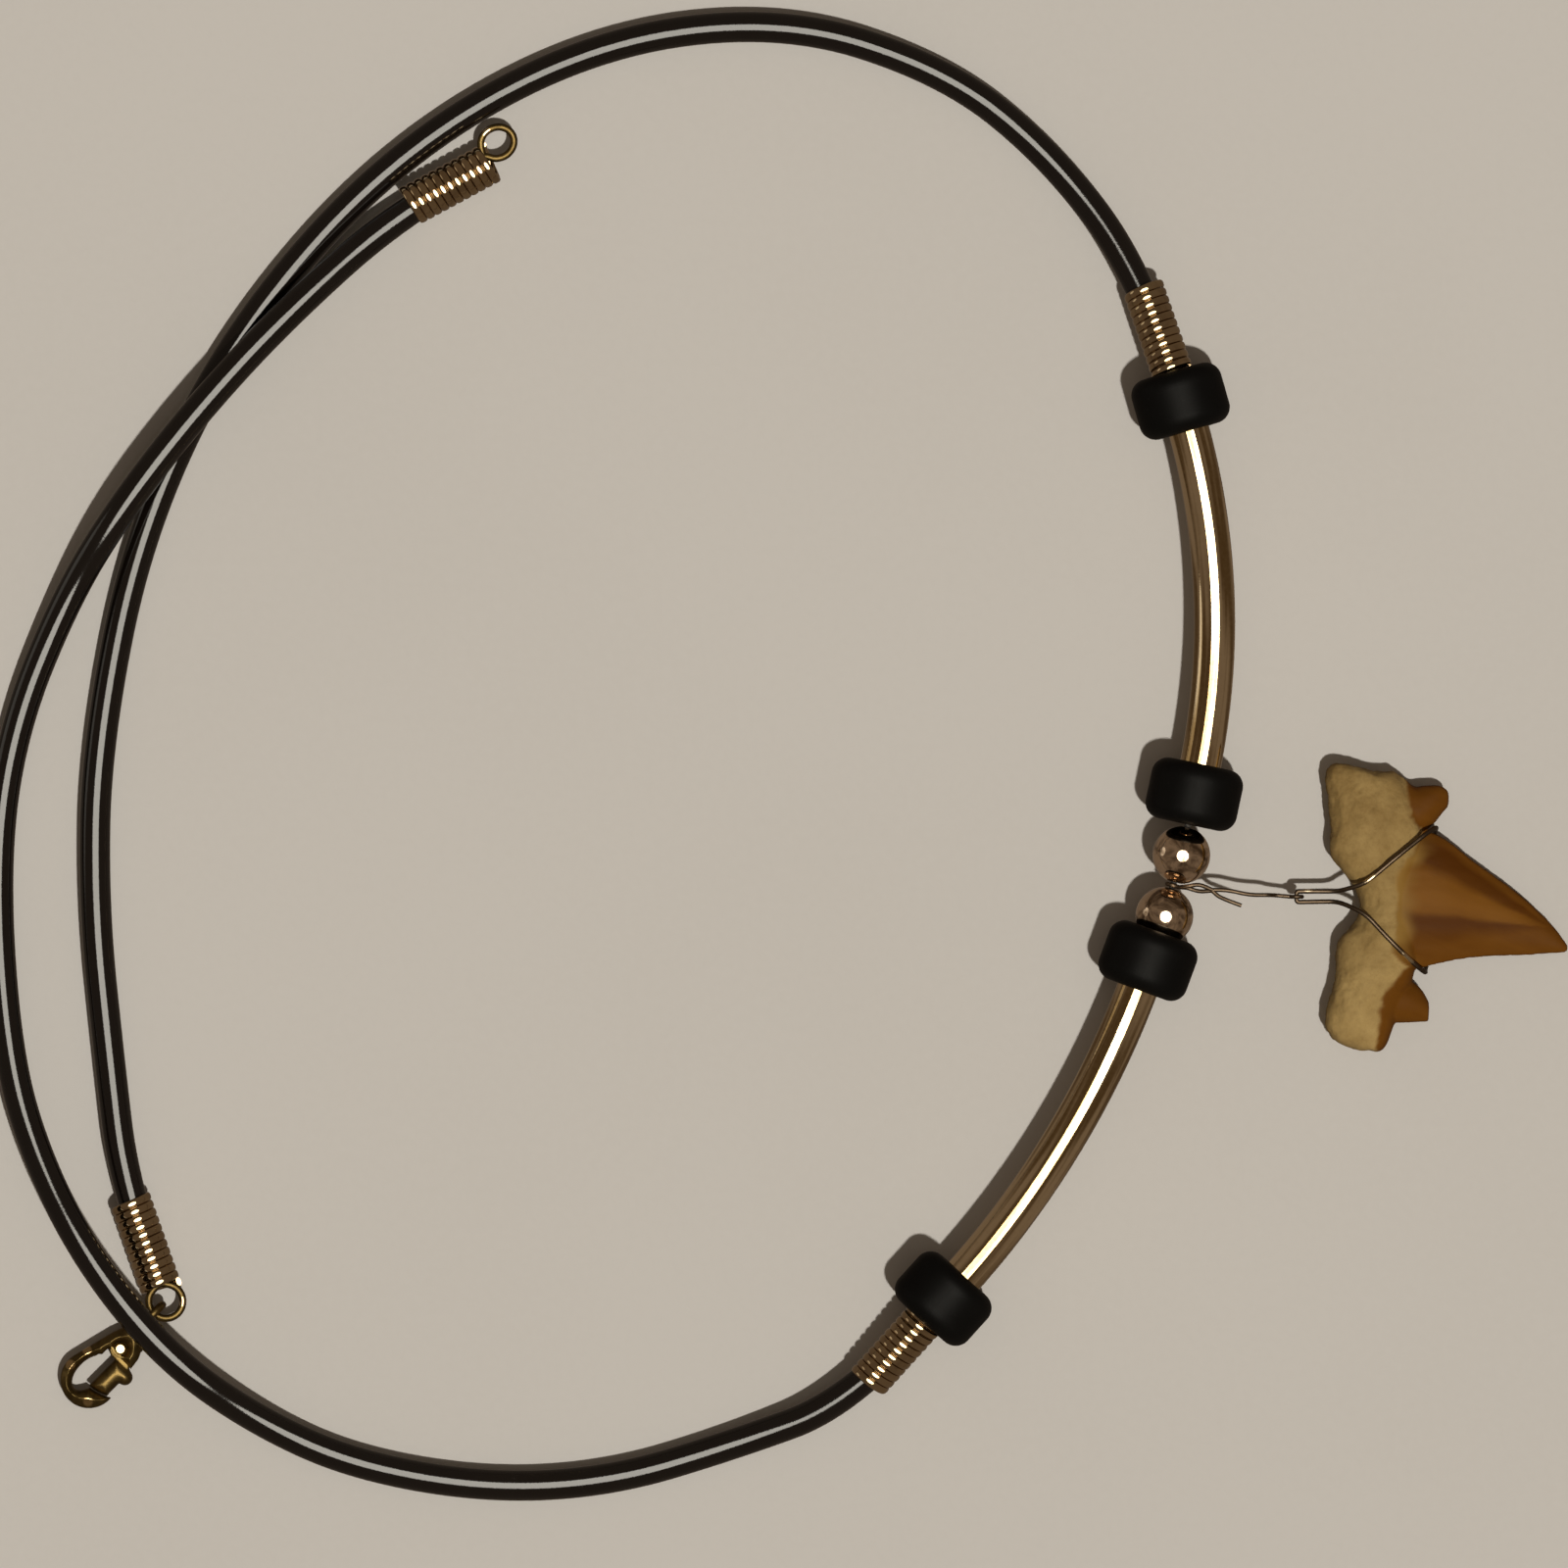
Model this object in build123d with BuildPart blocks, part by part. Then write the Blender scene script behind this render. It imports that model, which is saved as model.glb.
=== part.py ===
from build123d import *
import os
from collections import namedtuple
from math import cos, pi, radians, sin, sqrt, tan

# Shark tooth necklace, lying open on a flat surface at Z = 0. Millimetres, +Z up.
# The tooth points along +X. The clasp and the ring end lie open on the -X side.
# Headings are degrees from +X towards +Y.

os.makedirs("parts", exist_ok=True)

# Driving dimensions: cord and its coiled ends
cord_diameter = 3.0
cord_fit = 0.2
cord_in_coil = 6.8
cord_lead = 1.6
coil_diameter = 4.1
coil_wire = 0.72
coil_pitch = 0.8
coil_turns = 11
eye_width = 4.0
eye_standoff = 0.15
crossbar_share = 0.9
rib_depth = 0.18

# Driving dimensions: beads, tubes and thread
pony_diameter = 9.0
pony_length = 6.0
pony_hole = 4.4
pony_shoulder = 1.6
pony_shoulder_share = 0.7
pony_hole_round = 0.4
round_diameter = 5.6
round_hole = 1.5
tube_diameter = 4.0
tube_wall = 0.35
tube_length = 34.5
tube_insert = 1.0
tube_upper_bend = 28.0
tube_lower_bend = 22.0
thread_diameter = 0.6
upper_play = 1.4
seat_clearance = 0.15
face_clearance = 0.05
lower_coil_seat = 0.65
wire_clearance = 0.1

# Driving dimensions: wires at the tooth
bail_wire_diameter = 0.4
tooth_wire_diameter = 0.45
tooth_loop_width = 1.5

# Driving dimensions: tooth
tooth_width = 27.7
tooth_height = 23.4
root_thickness = 5.2
edge_thickness = 0.3

# Driving dimensions: lobster clasp
clasp_thickness = 2.6
clasp_eye_outer = 3.7
clasp_eye_wire = 0.8
clasp_eye_play = 0.3
neck_reach = 2.3
neck_radius = 0.9
cheek_radius = 1.95
cheek_side = 0.2
cheek_end = 5.2
claw_radius = 2.75
claw_reach = 8.7
claw_side = 0.1
claw_rounding = 0.3
hole_length = 4.2
hole_width = 2.3
hole_reach = 8.2
hole_side = -0.35
pivot_reach = 4.4
pivot_side = 0.15
boss_radius = 1.1
rivet_diameter = 1.0
rivet_proud = 0.15
rivet_rounding = 0.8
rivet_fit = 0.01
lever_plate = 1.0
lever_gate = 2.0
gate_reach = 4.75
gate_inner = 0.5
gate_outer = 2.4
gate_swing_room = 0.6
gate_clearance = 0.1
knob_reach = 6.1
knob_radius = 0.75
slot_clearance = 0.1
pin_clearance = 0.04

# Places and headings, chosen from the photograph
string_place = (34.8, -12.0)
heading_rounds = 74.4
heading_pony_upper = 78.0
heading_pony_lower = 249.8
heading_coil_upper = 109.0
heading_coil_lower = 228.0
front_coil_slope = 8.0
ring_coil_mouth = (-38.8, 53.9)
heading_ring_coil = 28.3
ring_eye_shift = 1.4
clasp_coil_mouth = (-66.2, -42.3)
heading_clasp_coil = 289.4
heading_clasp = 225.0
tooth_place = (49.7, -14.25)
tooth_loop_tip = (46.8, -13.1)
tooth_loop_height = 3.3

# Cord routes, hand-chosen points between the coil ends: X, Y and height of the centre
cord_radius = cord_diameter / 2
cord_upper_points = [
    (22.9, 58.9, 1.5),
    (12.9, 66.9, 1.5),
    (-2.9, 72.0, 1.5),
    (-21.9, 69.5, 1.5),
    (-40.7, 58.8, 1.5),
    (-56.0, 41.5, 1.5),
    (-65.2, 22.8, 1.5),
    (-69.4, 1.8, 1.5),
    (-69.7, -14.1, 1.5),
    (-68.1, -29.5, 1.5),
]
cord_lower_points = [
    (-7.8, -66.2, 1.5),
    (-19.4, -69.7, 1.5),
    (-31.4, -70.4, 1.5),
    (-44.2, -68.2, 1.5),
    (-53.4, -64.1, 2.4),
    (-62.1, -58.0, 5.5),
    (-69.6, -49.0, 5.5),
    (-75.0, -38.8, 2.6),
    (-78.1, -28.1, 1.5),
    (-79.3, -9.9, 1.5),
    (-77.5, 3.2, 1.5),
    (-72.5, 15.5, 2.2),
    (-67.3, 24.0, 4.7),
    (-60.0, 33.5, 4.9),
    (-51.5, 42.8, 4.6),
]

# Share of the shorter run that each arc of a swept path takes
arc_share = 0.45

# Turns in degrees
half_turn = 180.0
quarter_turn = 90.0


def along(heading, slope=0.0):
    """Unit vector along a heading, rising by the slope in degrees."""
    flat = cos(radians(slope))
    return Vector(flat * cos(radians(heading)), flat * sin(radians(heading)), sin(radians(slope)))


def arc_radii(points):
    """One radius for each corner, so that an arc fills its share of the shorter run."""
    radii = []
    for before, corner, after in zip(points, points[1:], points[2:]):
        run_in = Vector(corner) - Vector(before)
        run_out = Vector(after) - Vector(corner)
        bend = radians(run_in.get_angle(run_out))
        radii.append(arc_share * min(run_in.length, run_out.length) / tan(bend / 2))
    return radii


def swept_wire(points, diameter):
    """Round wire or cord along straight runs joined by tangent arcs."""
    with BuildPart() as wire:
        with BuildLine() as path:
            FilletPolyline(*points, radius=arc_radii(points))
        start = Plane(origin=path.line @ 0, z_dir=path.line % 0)
        with BuildSketch(start):
            Circle(diameter / 2)
        sweep(path=path.line)
    return wire


def ring_of_wire(centre, normal, mean_radius, diameter):
    """Closed round ring of wire about the given normal."""
    with BuildPart(Plane(origin=centre, z_dir=normal)) as ring:
        Torus(mean_radius, diameter / 2)
    return ring


def write(part, name):
    """Label a finished piece and write it to its own file."""
    part.label = name
    export_step(part, f"parts/{name}.step")


# Front string: every piece is placed from the place where the bail wire hangs
string_height = pony_diameter / 2
string_centre = Vector(*string_place, string_height)
bead_gap = bail_wire_diameter + wire_clearance
round_radius = round_diameter / 2
pony_hole_radius = pony_hole / 2
seat_run = sqrt((round_radius + pony_hole_round) ** 2 - (pony_hole_radius + pony_hole_round) ** 2)
seated_distance = pony_length / 2 - pony_hole_round + seat_run + seat_clearance
pony_to_tube = pony_length / 2 - tube_insert

Side = namedtuple("Side", "heading_round heading_pony bend heading_coil play coil_seat")
upper_side = Side(
    heading_round=heading_rounds,
    heading_pony=heading_pony_upper,
    bend=tube_upper_bend,
    heading_coil=heading_coil_upper,
    play=upper_play,
    coil_seat=0.0,
)
lower_side = Side(
    heading_round=heading_rounds + half_turn,
    heading_pony=heading_pony_lower,
    bend=-tube_lower_bend,
    heading_coil=heading_coil_lower,
    play=0.0,
    coil_seat=lower_coil_seat,
)

String = namedtuple("String", "round_centre inner_pony tube_start tube_end outer_pony end_heading coil_end")


def lay_string(side):
    """Centres of one side's pieces, from the middle of the string outwards."""
    out = along(side.heading_round)
    round_centre = string_centre + out * (round_radius + bead_gap / 2)
    pony_axis = along(side.heading_pony)
    inner_pony = round_centre + pony_axis * (seated_distance + side.play)
    tube_start = inner_pony + pony_axis * pony_to_tube
    end_heading = side.heading_pony + side.bend
    bend_radius = tube_length / radians(abs(side.bend))
    chord = 2 * bend_radius * sin(radians(abs(side.bend)) / 2)
    tube_end = tube_start + along(side.heading_pony + side.bend / 2) * chord
    outer_pony = tube_end + along(end_heading) * pony_to_tube
    coil_end = outer_pony + along(end_heading) * (pony_length / 2 + face_clearance - side.coil_seat)
    return String(round_centre, inner_pony, tube_start, tube_end, outer_pony, end_heading, coil_end)


upper = lay_string(upper_side)
lower = lay_string(lower_side)


# Pony beads: matte barrels with rounded shoulders and a wide hole
def pony_bead(centre, heading):
    """One barrel bead, revolved about its hole."""
    axis = along(heading)
    outer_radius = pony_diameter / 2
    middle = (outer_radius + pony_hole_radius) / 2
    wall = outer_radius - pony_hole_radius
    profile = Plane(origin=centre, x_dir=(0, 0, 1), z_dir=Vector(0, 0, 1).cross(axis))
    with BuildPart() as bead:
        with BuildSketch(profile) as section:
            with Locations((middle, 0)):
                Rectangle(wall, pony_length)
            fillet(section.vertices().sort_by(Axis.X)[2:], min(pony_shoulder, wall * pony_shoulder_share))
            fillet(section.vertices().sort_by(Axis.X)[:2], pony_hole_round)
        revolve(axis=Axis(centre, axis))
    return bead


write(pony_bead(upper.outer_pony, upper.end_heading).part, "pony_bead_top")
write(pony_bead(upper.inner_pony, upper_side.heading_pony).part, "pony_bead_upper")
write(pony_bead(lower.inner_pony, lower_side.heading_pony).part, "pony_bead_lower")
write(pony_bead(lower.outer_pony, lower.end_heading).part, "pony_bead_bottom")


# Round beads: drilled metal balls
def round_bead(centre):
    """One drilled ball on the straight middle of the string."""
    with BuildPart(Plane(origin=centre, z_dir=along(heading_rounds))) as bead:
        Sphere(round_radius)
        Cylinder(round_hole / 2, round_diameter, mode=Mode.SUBTRACT)
    return bead


write(round_bead(upper.round_centre).part, "round_bead_upper")
write(round_bead(lower.round_centre).part, "round_bead_lower")


# Curved tubes: thin hollow arcs, their ends seated in the pony beads' holes
def curved_tube(start, side):
    """Hollow tube bent in one arc, turned about an upright axis beside it."""
    bend_radius = tube_length / radians(abs(side.bend))
    turn_side = 1 if side.bend > 0 else -1
    inward = along(side.heading_pony + quarter_turn * turn_side)
    turning_axis = Axis(start + inward * bend_radius, (0, 0, turn_side))
    with BuildPart() as tube:
        with BuildSketch(Plane(origin=start, z_dir=along(side.heading_pony))):
            Circle(tube_diameter / 2)
            Circle(tube_diameter / 2 - tube_wall, mode=Mode.SUBTRACT)
        revolve(axis=turning_axis, revolution_arc=abs(side.bend))
    return tube


write(curved_tube(upper.tube_start, upper_side).part, "tube_upper")
write(curved_tube(lower.tube_start, lower_side).part, "tube_lower")

# Coiled cord ends: close turns round the cord, a bar across the end and an eye
coil_bore_radius = cord_radius + cord_fit
coil_outer_radius = coil_diameter / 2
coil_length = coil_turns * coil_pitch
coil_mean_radius = coil_outer_radius - coil_wire / 2
eye_mean_radius = (eye_width - coil_wire) / 2
eye_reach = eye_mean_radius + eye_standoff


def coil_end(end, heading, slope=0.0, eye_shift=0.0):
    """Coil of wire that points from its mouth to its eye along the heading."""
    axis = along(heading, slope)
    side = along(heading + quarter_turn)
    mouth = end - axis * coil_length
    valley = coil_outer_radius - rib_depth
    with BuildPart() as coil:
        with BuildSketch(Plane(origin=mouth, x_dir=side, z_dir=side.cross(axis))):
            with BuildLine():
                for turn in range(coil_turns):
                    low = turn * coil_pitch
                    crest = (coil_outer_radius, low + coil_pitch / 2)
                    ThreePointArc((valley, low), crest, (valley, low + coil_pitch))
                Polyline(
                    (valley, coil_length),
                    (coil_bore_radius, coil_length),
                    (coil_bore_radius, 0),
                    (valley, 0),
                )
            make_face()
        revolve(axis=Axis(mouth, axis))
        bar_centre = end - axis * (coil_wire / 2)
        with BuildSketch(Plane(origin=bar_centre, z_dir=side)):
            Circle(coil_wire / 2 * crossbar_share)
        extrude(amount=coil_mean_radius, both=True)
        eye_centre = end + axis * eye_reach + side * eye_shift
        add(ring_of_wire(eye_centre, side.cross(axis), eye_mean_radius, coil_wire).part)
    return coil


CoilPlace = namedtuple("CoilPlace", "end axis mouth eye")


def place_coil(end, heading, slope=0.0, eye_shift=0.0):
    """The places that other pieces take from a coil end."""
    axis = along(heading, slope)
    eye = end + axis * eye_reach + along(heading + quarter_turn) * eye_shift
    return CoilPlace(end, axis, end - axis * coil_length, eye)


def front_coil(string, side):
    """A front coil slopes down from its pony bead towards the surface."""
    return place_coil(string.coil_end, side.heading_coil + half_turn, front_coil_slope)


coil_front_upper = front_coil(upper, upper_side)
coil_front_lower = front_coil(lower, lower_side)
ring_end = Vector(*ring_coil_mouth, coil_outer_radius) + along(heading_ring_coil) * coil_length
clasp_end = Vector(*clasp_coil_mouth, coil_outer_radius) + along(heading_clasp_coil) * coil_length
coil_ring = place_coil(ring_end, heading_ring_coil, eye_shift=ring_eye_shift)
coil_clasp = place_coil(clasp_end, heading_clasp_coil)

upper_coil = coil_end(upper.coil_end, heading_coil_upper + half_turn, front_coil_slope)
lower_coil = coil_end(lower.coil_end, heading_coil_lower + half_turn, front_coil_slope)
write(upper_coil.part, "front_coil_end_upper")
write(lower_coil.part, "front_coil_end_lower")
write(coil_end(ring_end, heading_ring_coil, eye_shift=ring_eye_shift).part, "ring_coil_end")
write(coil_end(clasp_end, heading_clasp_coil).part, "clasp_coil_end")


# Cords: from inside one coil end to inside another, laid on the surface
def cord(first_coil, points, last_coil):
    """Cord between two coil ends, by way of the chosen points."""
    start, lead_out = [first_coil.mouth + first_coil.axis * reach for reach in (cord_in_coil, -cord_lead)]
    lead_in, finish = [last_coil.mouth + last_coil.axis * reach for reach in (-cord_lead, cord_in_coil)]
    route = [start, lead_out, *[Vector(*point) for point in points], lead_in, finish]
    body = swept_wire(route, cord_diameter)
    radii = arc_radii(route)
    print("cord length", round(body.part.volume / (pi * cord_radius**2), 1))
    print("radii of its arcs", [round(radius, 1) for radius in radii])
    return body


write(cord(coil_front_upper, cord_upper_points, coil_clasp).part, "cord_upper")
write(cord(coil_front_lower, cord_lower_points, coil_ring).part, "cord_lower")

# Hidden thread: hooked to the two front eyes, through every bead and both tubes
hook_radius = (coil_wire + thread_diameter) / 2 + wire_clearance
hook_start = hook_radius - wire_clearance / 2

# Where along a tube's arc its path has its two corners
corner_shares = (0.25, 0.75)


def tube_corners(start, side):
    """The two corners of a path that follows a tube's arc."""
    bend_radius = tube_length / radians(abs(side.bend))
    turn_side = 1 if side.bend > 0 else -1
    centre = start + along(side.heading_pony + quarter_turn * turn_side) * bend_radius
    corner_radius = bend_radius / cos(radians(side.bend * corner_shares[0]))
    corners = []
    for share in corner_shares:
        outward = side.heading_pony - quarter_turn * turn_side + side.bend * share
        corners.append(centre + along(outward) * corner_radius)
    return corners


def eye_tip(coil):
    """Middle of the eye's wire where it lies furthest from the coil."""
    return coil.eye + coil.axis * eye_mean_radius


upper_tip = eye_tip(coil_front_upper)
lower_tip = eye_tip(coil_front_lower)
upper_corners = tube_corners(upper.tube_start, upper_side)
lower_corners = tube_corners(lower.tube_start, lower_side)
thread_route = [
    upper_tip + coil_front_upper.axis * hook_start,
    upper_corners[1],
    upper_corners[0],
    upper.round_centre,
    lower.round_centre,
    lower_corners[0],
    lower_corners[1],
    lower_tip + coil_front_lower.axis * hook_start,
]
with BuildPart() as stringing_thread:
    add(swept_wire(thread_route, thread_diameter).part)
    for coil, tip, heading in (
        (coil_front_upper, upper_tip, heading_coil_upper),
        (coil_front_lower, lower_tip, heading_coil_lower),
    ):
        add(ring_of_wire(tip, along(heading + quarter_turn), hook_radius, thread_diameter).part)
write(stringing_thread.part, "stringing_thread")

# Bail wire: looped round the thread between the round beads, out to the tooth's wire
heading_out = heading_rounds - quarter_turn
wire_across = along(heading_rounds)
wire_out = along(heading_out)
loop_radius = (thread_diameter + bail_wire_diameter) / 2 + wire_clearance


tooth_loop_place = Vector(*tooth_loop_tip, tooth_loop_height)
link_radius = (tooth_wire_diameter + bail_wire_diameter) / 2 + wire_clearance
bail_reach = (tooth_loop_place - string_centre).dot(wire_out)

# Shares of the bail wire's reach: away from the string, along it and up from its middle
BailPoint = namedtuple("BailPoint", "out across rise")
twist_point = BailPoint(0.337, 0.05, 0.0)
leg_points = [
    [BailPoint(0.118, 0.025, 0.042), BailPoint(0.202, 0.067, 0.03)],
    [BailPoint(0.127, 0.013, -0.034), BailPoint(0.219, 0.008, -0.025)],
]
main_points = [
    BailPoint(0.447, 0.084, 0.008),
    BailPoint(0.624, 0.093, 0.0),
    BailPoint(0.776, 0.135, -0.03),
    BailPoint(0.818, 0.145, -0.08),
]
tail_points = [
    BailPoint(0.380, 0.013, 0.008),
    BailPoint(0.481, 0.0, 0.025),
    BailPoint(0.582, -0.008, 0.017),
]
twist_overlap = 0.3


def from_string(point):
    """Place of a bail wire's point, from its shares."""
    flat = wire_out * (point.out * bail_reach) + wire_across * (point.across * bail_reach)
    return string_centre + flat + Vector(0, 0, point.rise * bail_reach)


twist = from_string(twist_point)
before_twist = twist - wire_out * twist_overlap
loop_front = string_centre + wire_out * loop_radius
link_side = tooth_loop_place - Vector(link_radius, 0, 0)
bail_runs = [[loop_front, *[from_string(point) for point in points], twist] for points in leg_points]
bail_runs.append([before_twist, *[from_string(point) for point in main_points], link_side])
bail_runs.append([before_twist, *[from_string(point) for point in tail_points]])
with BuildPart() as bail_wire:
    add(ring_of_wire(string_centre, wire_across, loop_radius, bail_wire_diameter).part)
    for run in bail_runs:
        add(swept_wire(run, bail_wire_diameter).part)
    add(ring_of_wire(tooth_loop_place, Vector(0, 1, 0), link_radius, bail_wire_diameter).part)
write(bail_wire.part, "bail_wire")

# Tooth: two root lobes, a crown and two side cusplets, each a loft through a few sections.
# Every number in the three tables is a share: of the tooth's width, height or root thickness.
tooth_centre = Vector(*tooth_place, 0)
RootSection = namedtuple("RootSection", "across base_edge crown_edge thickness")
root_sections = [
    RootSection(0.499, 0.05, 0.11, 0.40),
    RootSection(0.465, 0.015, 0.24, 0.76),
    RootSection(0.37, 0.01, 0.36, 0.97),
    RootSection(0.245, 0.03, 0.39, 1.00),
    RootSection(0.145, 0.08, 0.37, 0.93),
    RootSection(0.055, 0.13, 0.35, 0.86),
    RootSection(-0.05, 0.12, 0.35, 0.88),
    RootSection(-0.155, 0.06, 0.37, 0.96),
    RootSection(-0.275, 0.02, 0.34, 0.98),
    RootSection(-0.37, 0.005, 0.29, 0.92),
    RootSection(-0.445, 0.05, 0.26, 0.76),
    RootSection(-0.496, 0.15, 0.215, 0.40),
]
BladeSection = namedtuple("BladeSection", "out upper_edge lower_edge thickness middle")
crown_sections = [
    BladeSection(0.27, 0.23, -0.19, 0.66, 0.50),
    BladeSection(0.38, 0.262, -0.207, 0.66, 0.49),
    BladeSection(0.46, 0.255, -0.190, 0.62, 0.47),
    BladeSection(0.56, 0.195, -0.173, 0.54, 0.42),
    BladeSection(0.68, 0.120, -0.163, 0.44, 0.34),
    BladeSection(0.80, 0.045, -0.160, 0.34, 0.27),
    BladeSection(0.90, -0.030, -0.156, 0.25, 0.20),
    BladeSection(0.96, -0.085, -0.153, 0.18, 0.16),
    BladeSection(0.998, -0.132, -0.150, 0.09, 0.13),
]
upper_cusplet_sections = [
    BladeSection(0.28, 0.43, 0.27, 0.62, 0.48),
    BladeSection(0.40, 0.425, 0.267, 0.52, 0.46),
    BladeSection(0.46, 0.405, 0.315, 0.36, 0.44),
    BladeSection(0.498, 0.385, 0.345, 0.16, 0.43),
]
lower_cusplet_sections = [
    BladeSection(0.22, -0.225, -0.395, 0.62, 0.48),
    BladeSection(0.32, -0.245, -0.396, 0.54, 0.46),
    BladeSection(0.38, -0.275, -0.394, 0.38, 0.44),
    BladeSection(0.42, -0.330, -0.392, 0.18, 0.43),
]


def blade(sections):
    """Loft of lens-shaped sections that stand across the tooth's length."""
    with BuildPart() as body:
        for row in sections:
            width = (row.upper_edge - row.lower_edge) * tooth_width
            centre = tooth_centre + Vector(
                row.out * tooth_height,
                (row.upper_edge + row.lower_edge) / 2 * tooth_width,
                row.middle * root_thickness,
            )
            half_rise = row.thickness * root_thickness / 2
            half_edge = min(edge_thickness, half_rise) / 2
            with BuildSketch(Plane(origin=centre, x_dir=(0, 1, 0), z_dir=(1, 0, 0))):
                with BuildLine():
                    ThreePointArc((-width / 2, half_edge), (0, half_rise), (width / 2, half_edge))
                    Line((width / 2, half_edge), (width / 2, -half_edge))
                    ThreePointArc((width / 2, -half_edge), (0, -half_rise), (-width / 2, -half_edge))
                    Line((-width / 2, -half_edge), (-width / 2, half_edge))
                make_face()
        loft()
    return body


with BuildPart() as shark_tooth:
    for row in root_sections:
        centre = tooth_centre + Vector(
            (row.base_edge + row.crown_edge) / 2 * tooth_height,
            row.across * tooth_width,
            root_thickness / 2,
        )
        with BuildSketch(Plane(origin=centre, x_dir=(1, 0, 0), z_dir=(0, -1, 0))):
            Ellipse(
                (row.crown_edge - row.base_edge) / 2 * tooth_height,
                row.thickness * root_thickness / 2,
            )
    loft()
    add(blade(crown_sections).part)
    add(blade(upper_cusplet_sections).part)
    add(blade(lower_cusplet_sections).part)
write(shark_tooth.part, "shark_tooth")

# Tooth wire: a closed loop, from the narrow U over the base, across the front, round
# both notches and behind the tooth
WirePoint = namedtuple("WirePoint", "out across height")


def on_tooth(point):
    """Place beside the tooth, from shares of its height, its width and its root's thickness."""
    return tooth_centre + Vector(
        point.out * tooth_height,
        point.across * tooth_width,
        point.height * root_thickness,
    )


half_loop = tooth_loop_width / 2 - tooth_wire_diameter / 2
behind = WirePoint(0.43, 0.02, 0.09)
upper_wire = [
    WirePoint(0.43, 0.20, 0.09),
    WirePoint(0.455, 0.275, 0.18),
    WirePoint(0.455, 0.285, 0.62),
    WirePoint(0.41, 0.262, 0.87),
    WirePoint(0.29, 0.182, 1.07),
    WirePoint(0.16, 0.09, 1.03),
    WirePoint(0.09, 0.07, 0.885),
    WirePoint(0.04, 0.06, 0.655),
]
lower_wire = [
    WirePoint(0.43, -0.16, 0.09),
    WirePoint(0.41, -0.215, 0.18),
    WirePoint(0.41, -0.225, 0.62),
    WirePoint(0.37, -0.20, 0.885),
    WirePoint(0.27, -0.12, 1.07),
    WirePoint(0.16, -0.02, 1.03),
    WirePoint(0.09, 0.01, 0.885),
    WirePoint(0.04, 0.025, 0.655),
]
with BuildPart() as tooth_wire:
    for run, loop_side in ((upper_wire, half_loop), (lower_wire, -half_loop)):
        places = [on_tooth(point) for point in (behind, *run)]
        loop_leg = tooth_loop_place + Vector(0, loop_side, 0)
        add(swept_wire([*places, loop_leg, tooth_loop_place], tooth_wire_diameter).part)
write(tooth_wire.part, "tooth_wire")

# Lobster clasp: a hooked claw with an upright eye, and a lever that turns on a rivet.
# Its own plane has X from the eye to the claw's tip and Y towards the lever's side.
clasp_axis = along(heading_clasp)
eye_centre_radius = (clasp_eye_outer - clasp_eye_wire) / 2
clasp_height = clasp_thickness / 2 + rivet_proud
clasp_eye = coil_clasp.eye + clasp_axis * (eye_mean_radius + clasp_eye_play)
clasp_eye = Vector(clasp_eye.X, clasp_eye.Y, clasp_eye_outer / 2)
clasp_origin = Vector(clasp_eye.X, clasp_eye.Y, clasp_height)
clasp_plane = Plane(origin=clasp_origin, x_dir=clasp_axis, z_dir=(0, 0, 1))
pivot = (pivot_reach, pivot_side)
gate_arc = gate_reach - pin_clearance
slot_thickness = lever_plate + 2 * slot_clearance
slot_room = boss_radius + slot_clearance
beyond_claw = claw_reach + claw_radius

with BuildPart(clasp_plane) as clasp_body:
    with BuildSketch(clasp_plane.offset(-clasp_thickness / 2)):
        with Locations((neck_reach, 0)):
            Circle(neck_radius)
        with Locations((pivot_reach, pivot_side + cheek_side)):
            Circle(cheek_radius)
        with Locations((claw_reach, claw_side)):
            Circle(claw_radius)
        make_hull()
    extrude(amount=clasp_thickness)
    rims = clasp_body.edges().filter_by(Plane.XY)
    fillet(rims, clasp_thickness * claw_rounding)
    with BuildSketch(clasp_plane):
        with Locations((hole_reach, hole_side)):
            Ellipse(hole_length / 2, hole_width / 2)
    extrude(amount=clasp_thickness, both=True, mode=Mode.SUBTRACT)
    with BuildSketch(clasp_plane):
        with Locations(pivot):
            Circle(gate_reach + gate_clearance)
        with Locations((cheek_end, -gate_swing_room)):
            Rectangle(beyond_claw, beyond_claw, align=(Align.MIN, Align.MIN), mode=Mode.INTERSECT)
    extrude(amount=clasp_thickness, both=True, mode=Mode.SUBTRACT)
    with BuildSketch(clasp_plane):
        with Locations((pivot_reach - slot_room, pivot_side - slot_room)):
            Rectangle(beyond_claw, beyond_claw, align=(Align.MIN, Align.MIN))
        with Locations(pivot):
            Circle(gate_reach, mode=Mode.INTERSECT)
    extrude(amount=slot_thickness / 2, both=True, mode=Mode.SUBTRACT)
    with Locations((*pivot, 0)):
        Cylinder(rivet_diameter / 2 + rivet_fit, clasp_thickness * 2, mode=Mode.SUBTRACT)
    with Locations(Location((0, 0, clasp_eye.Z - clasp_height), (90, 0, 0))):
        Torus(eye_centre_radius, clasp_eye_wire / 2)
write(clasp_body.part, "clasp_body")

with BuildPart(clasp_plane) as clasp_rivet:
    with Locations((*pivot, 0)):
        Cylinder(rivet_diameter / 2, clasp_thickness + 2 * rivet_proud)
    fillet(clasp_rivet.edges().filter_by(GeomType.CIRCLE), rivet_proud * rivet_rounding)
write(clasp_rivet.part, "clasp_rivet")

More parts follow.
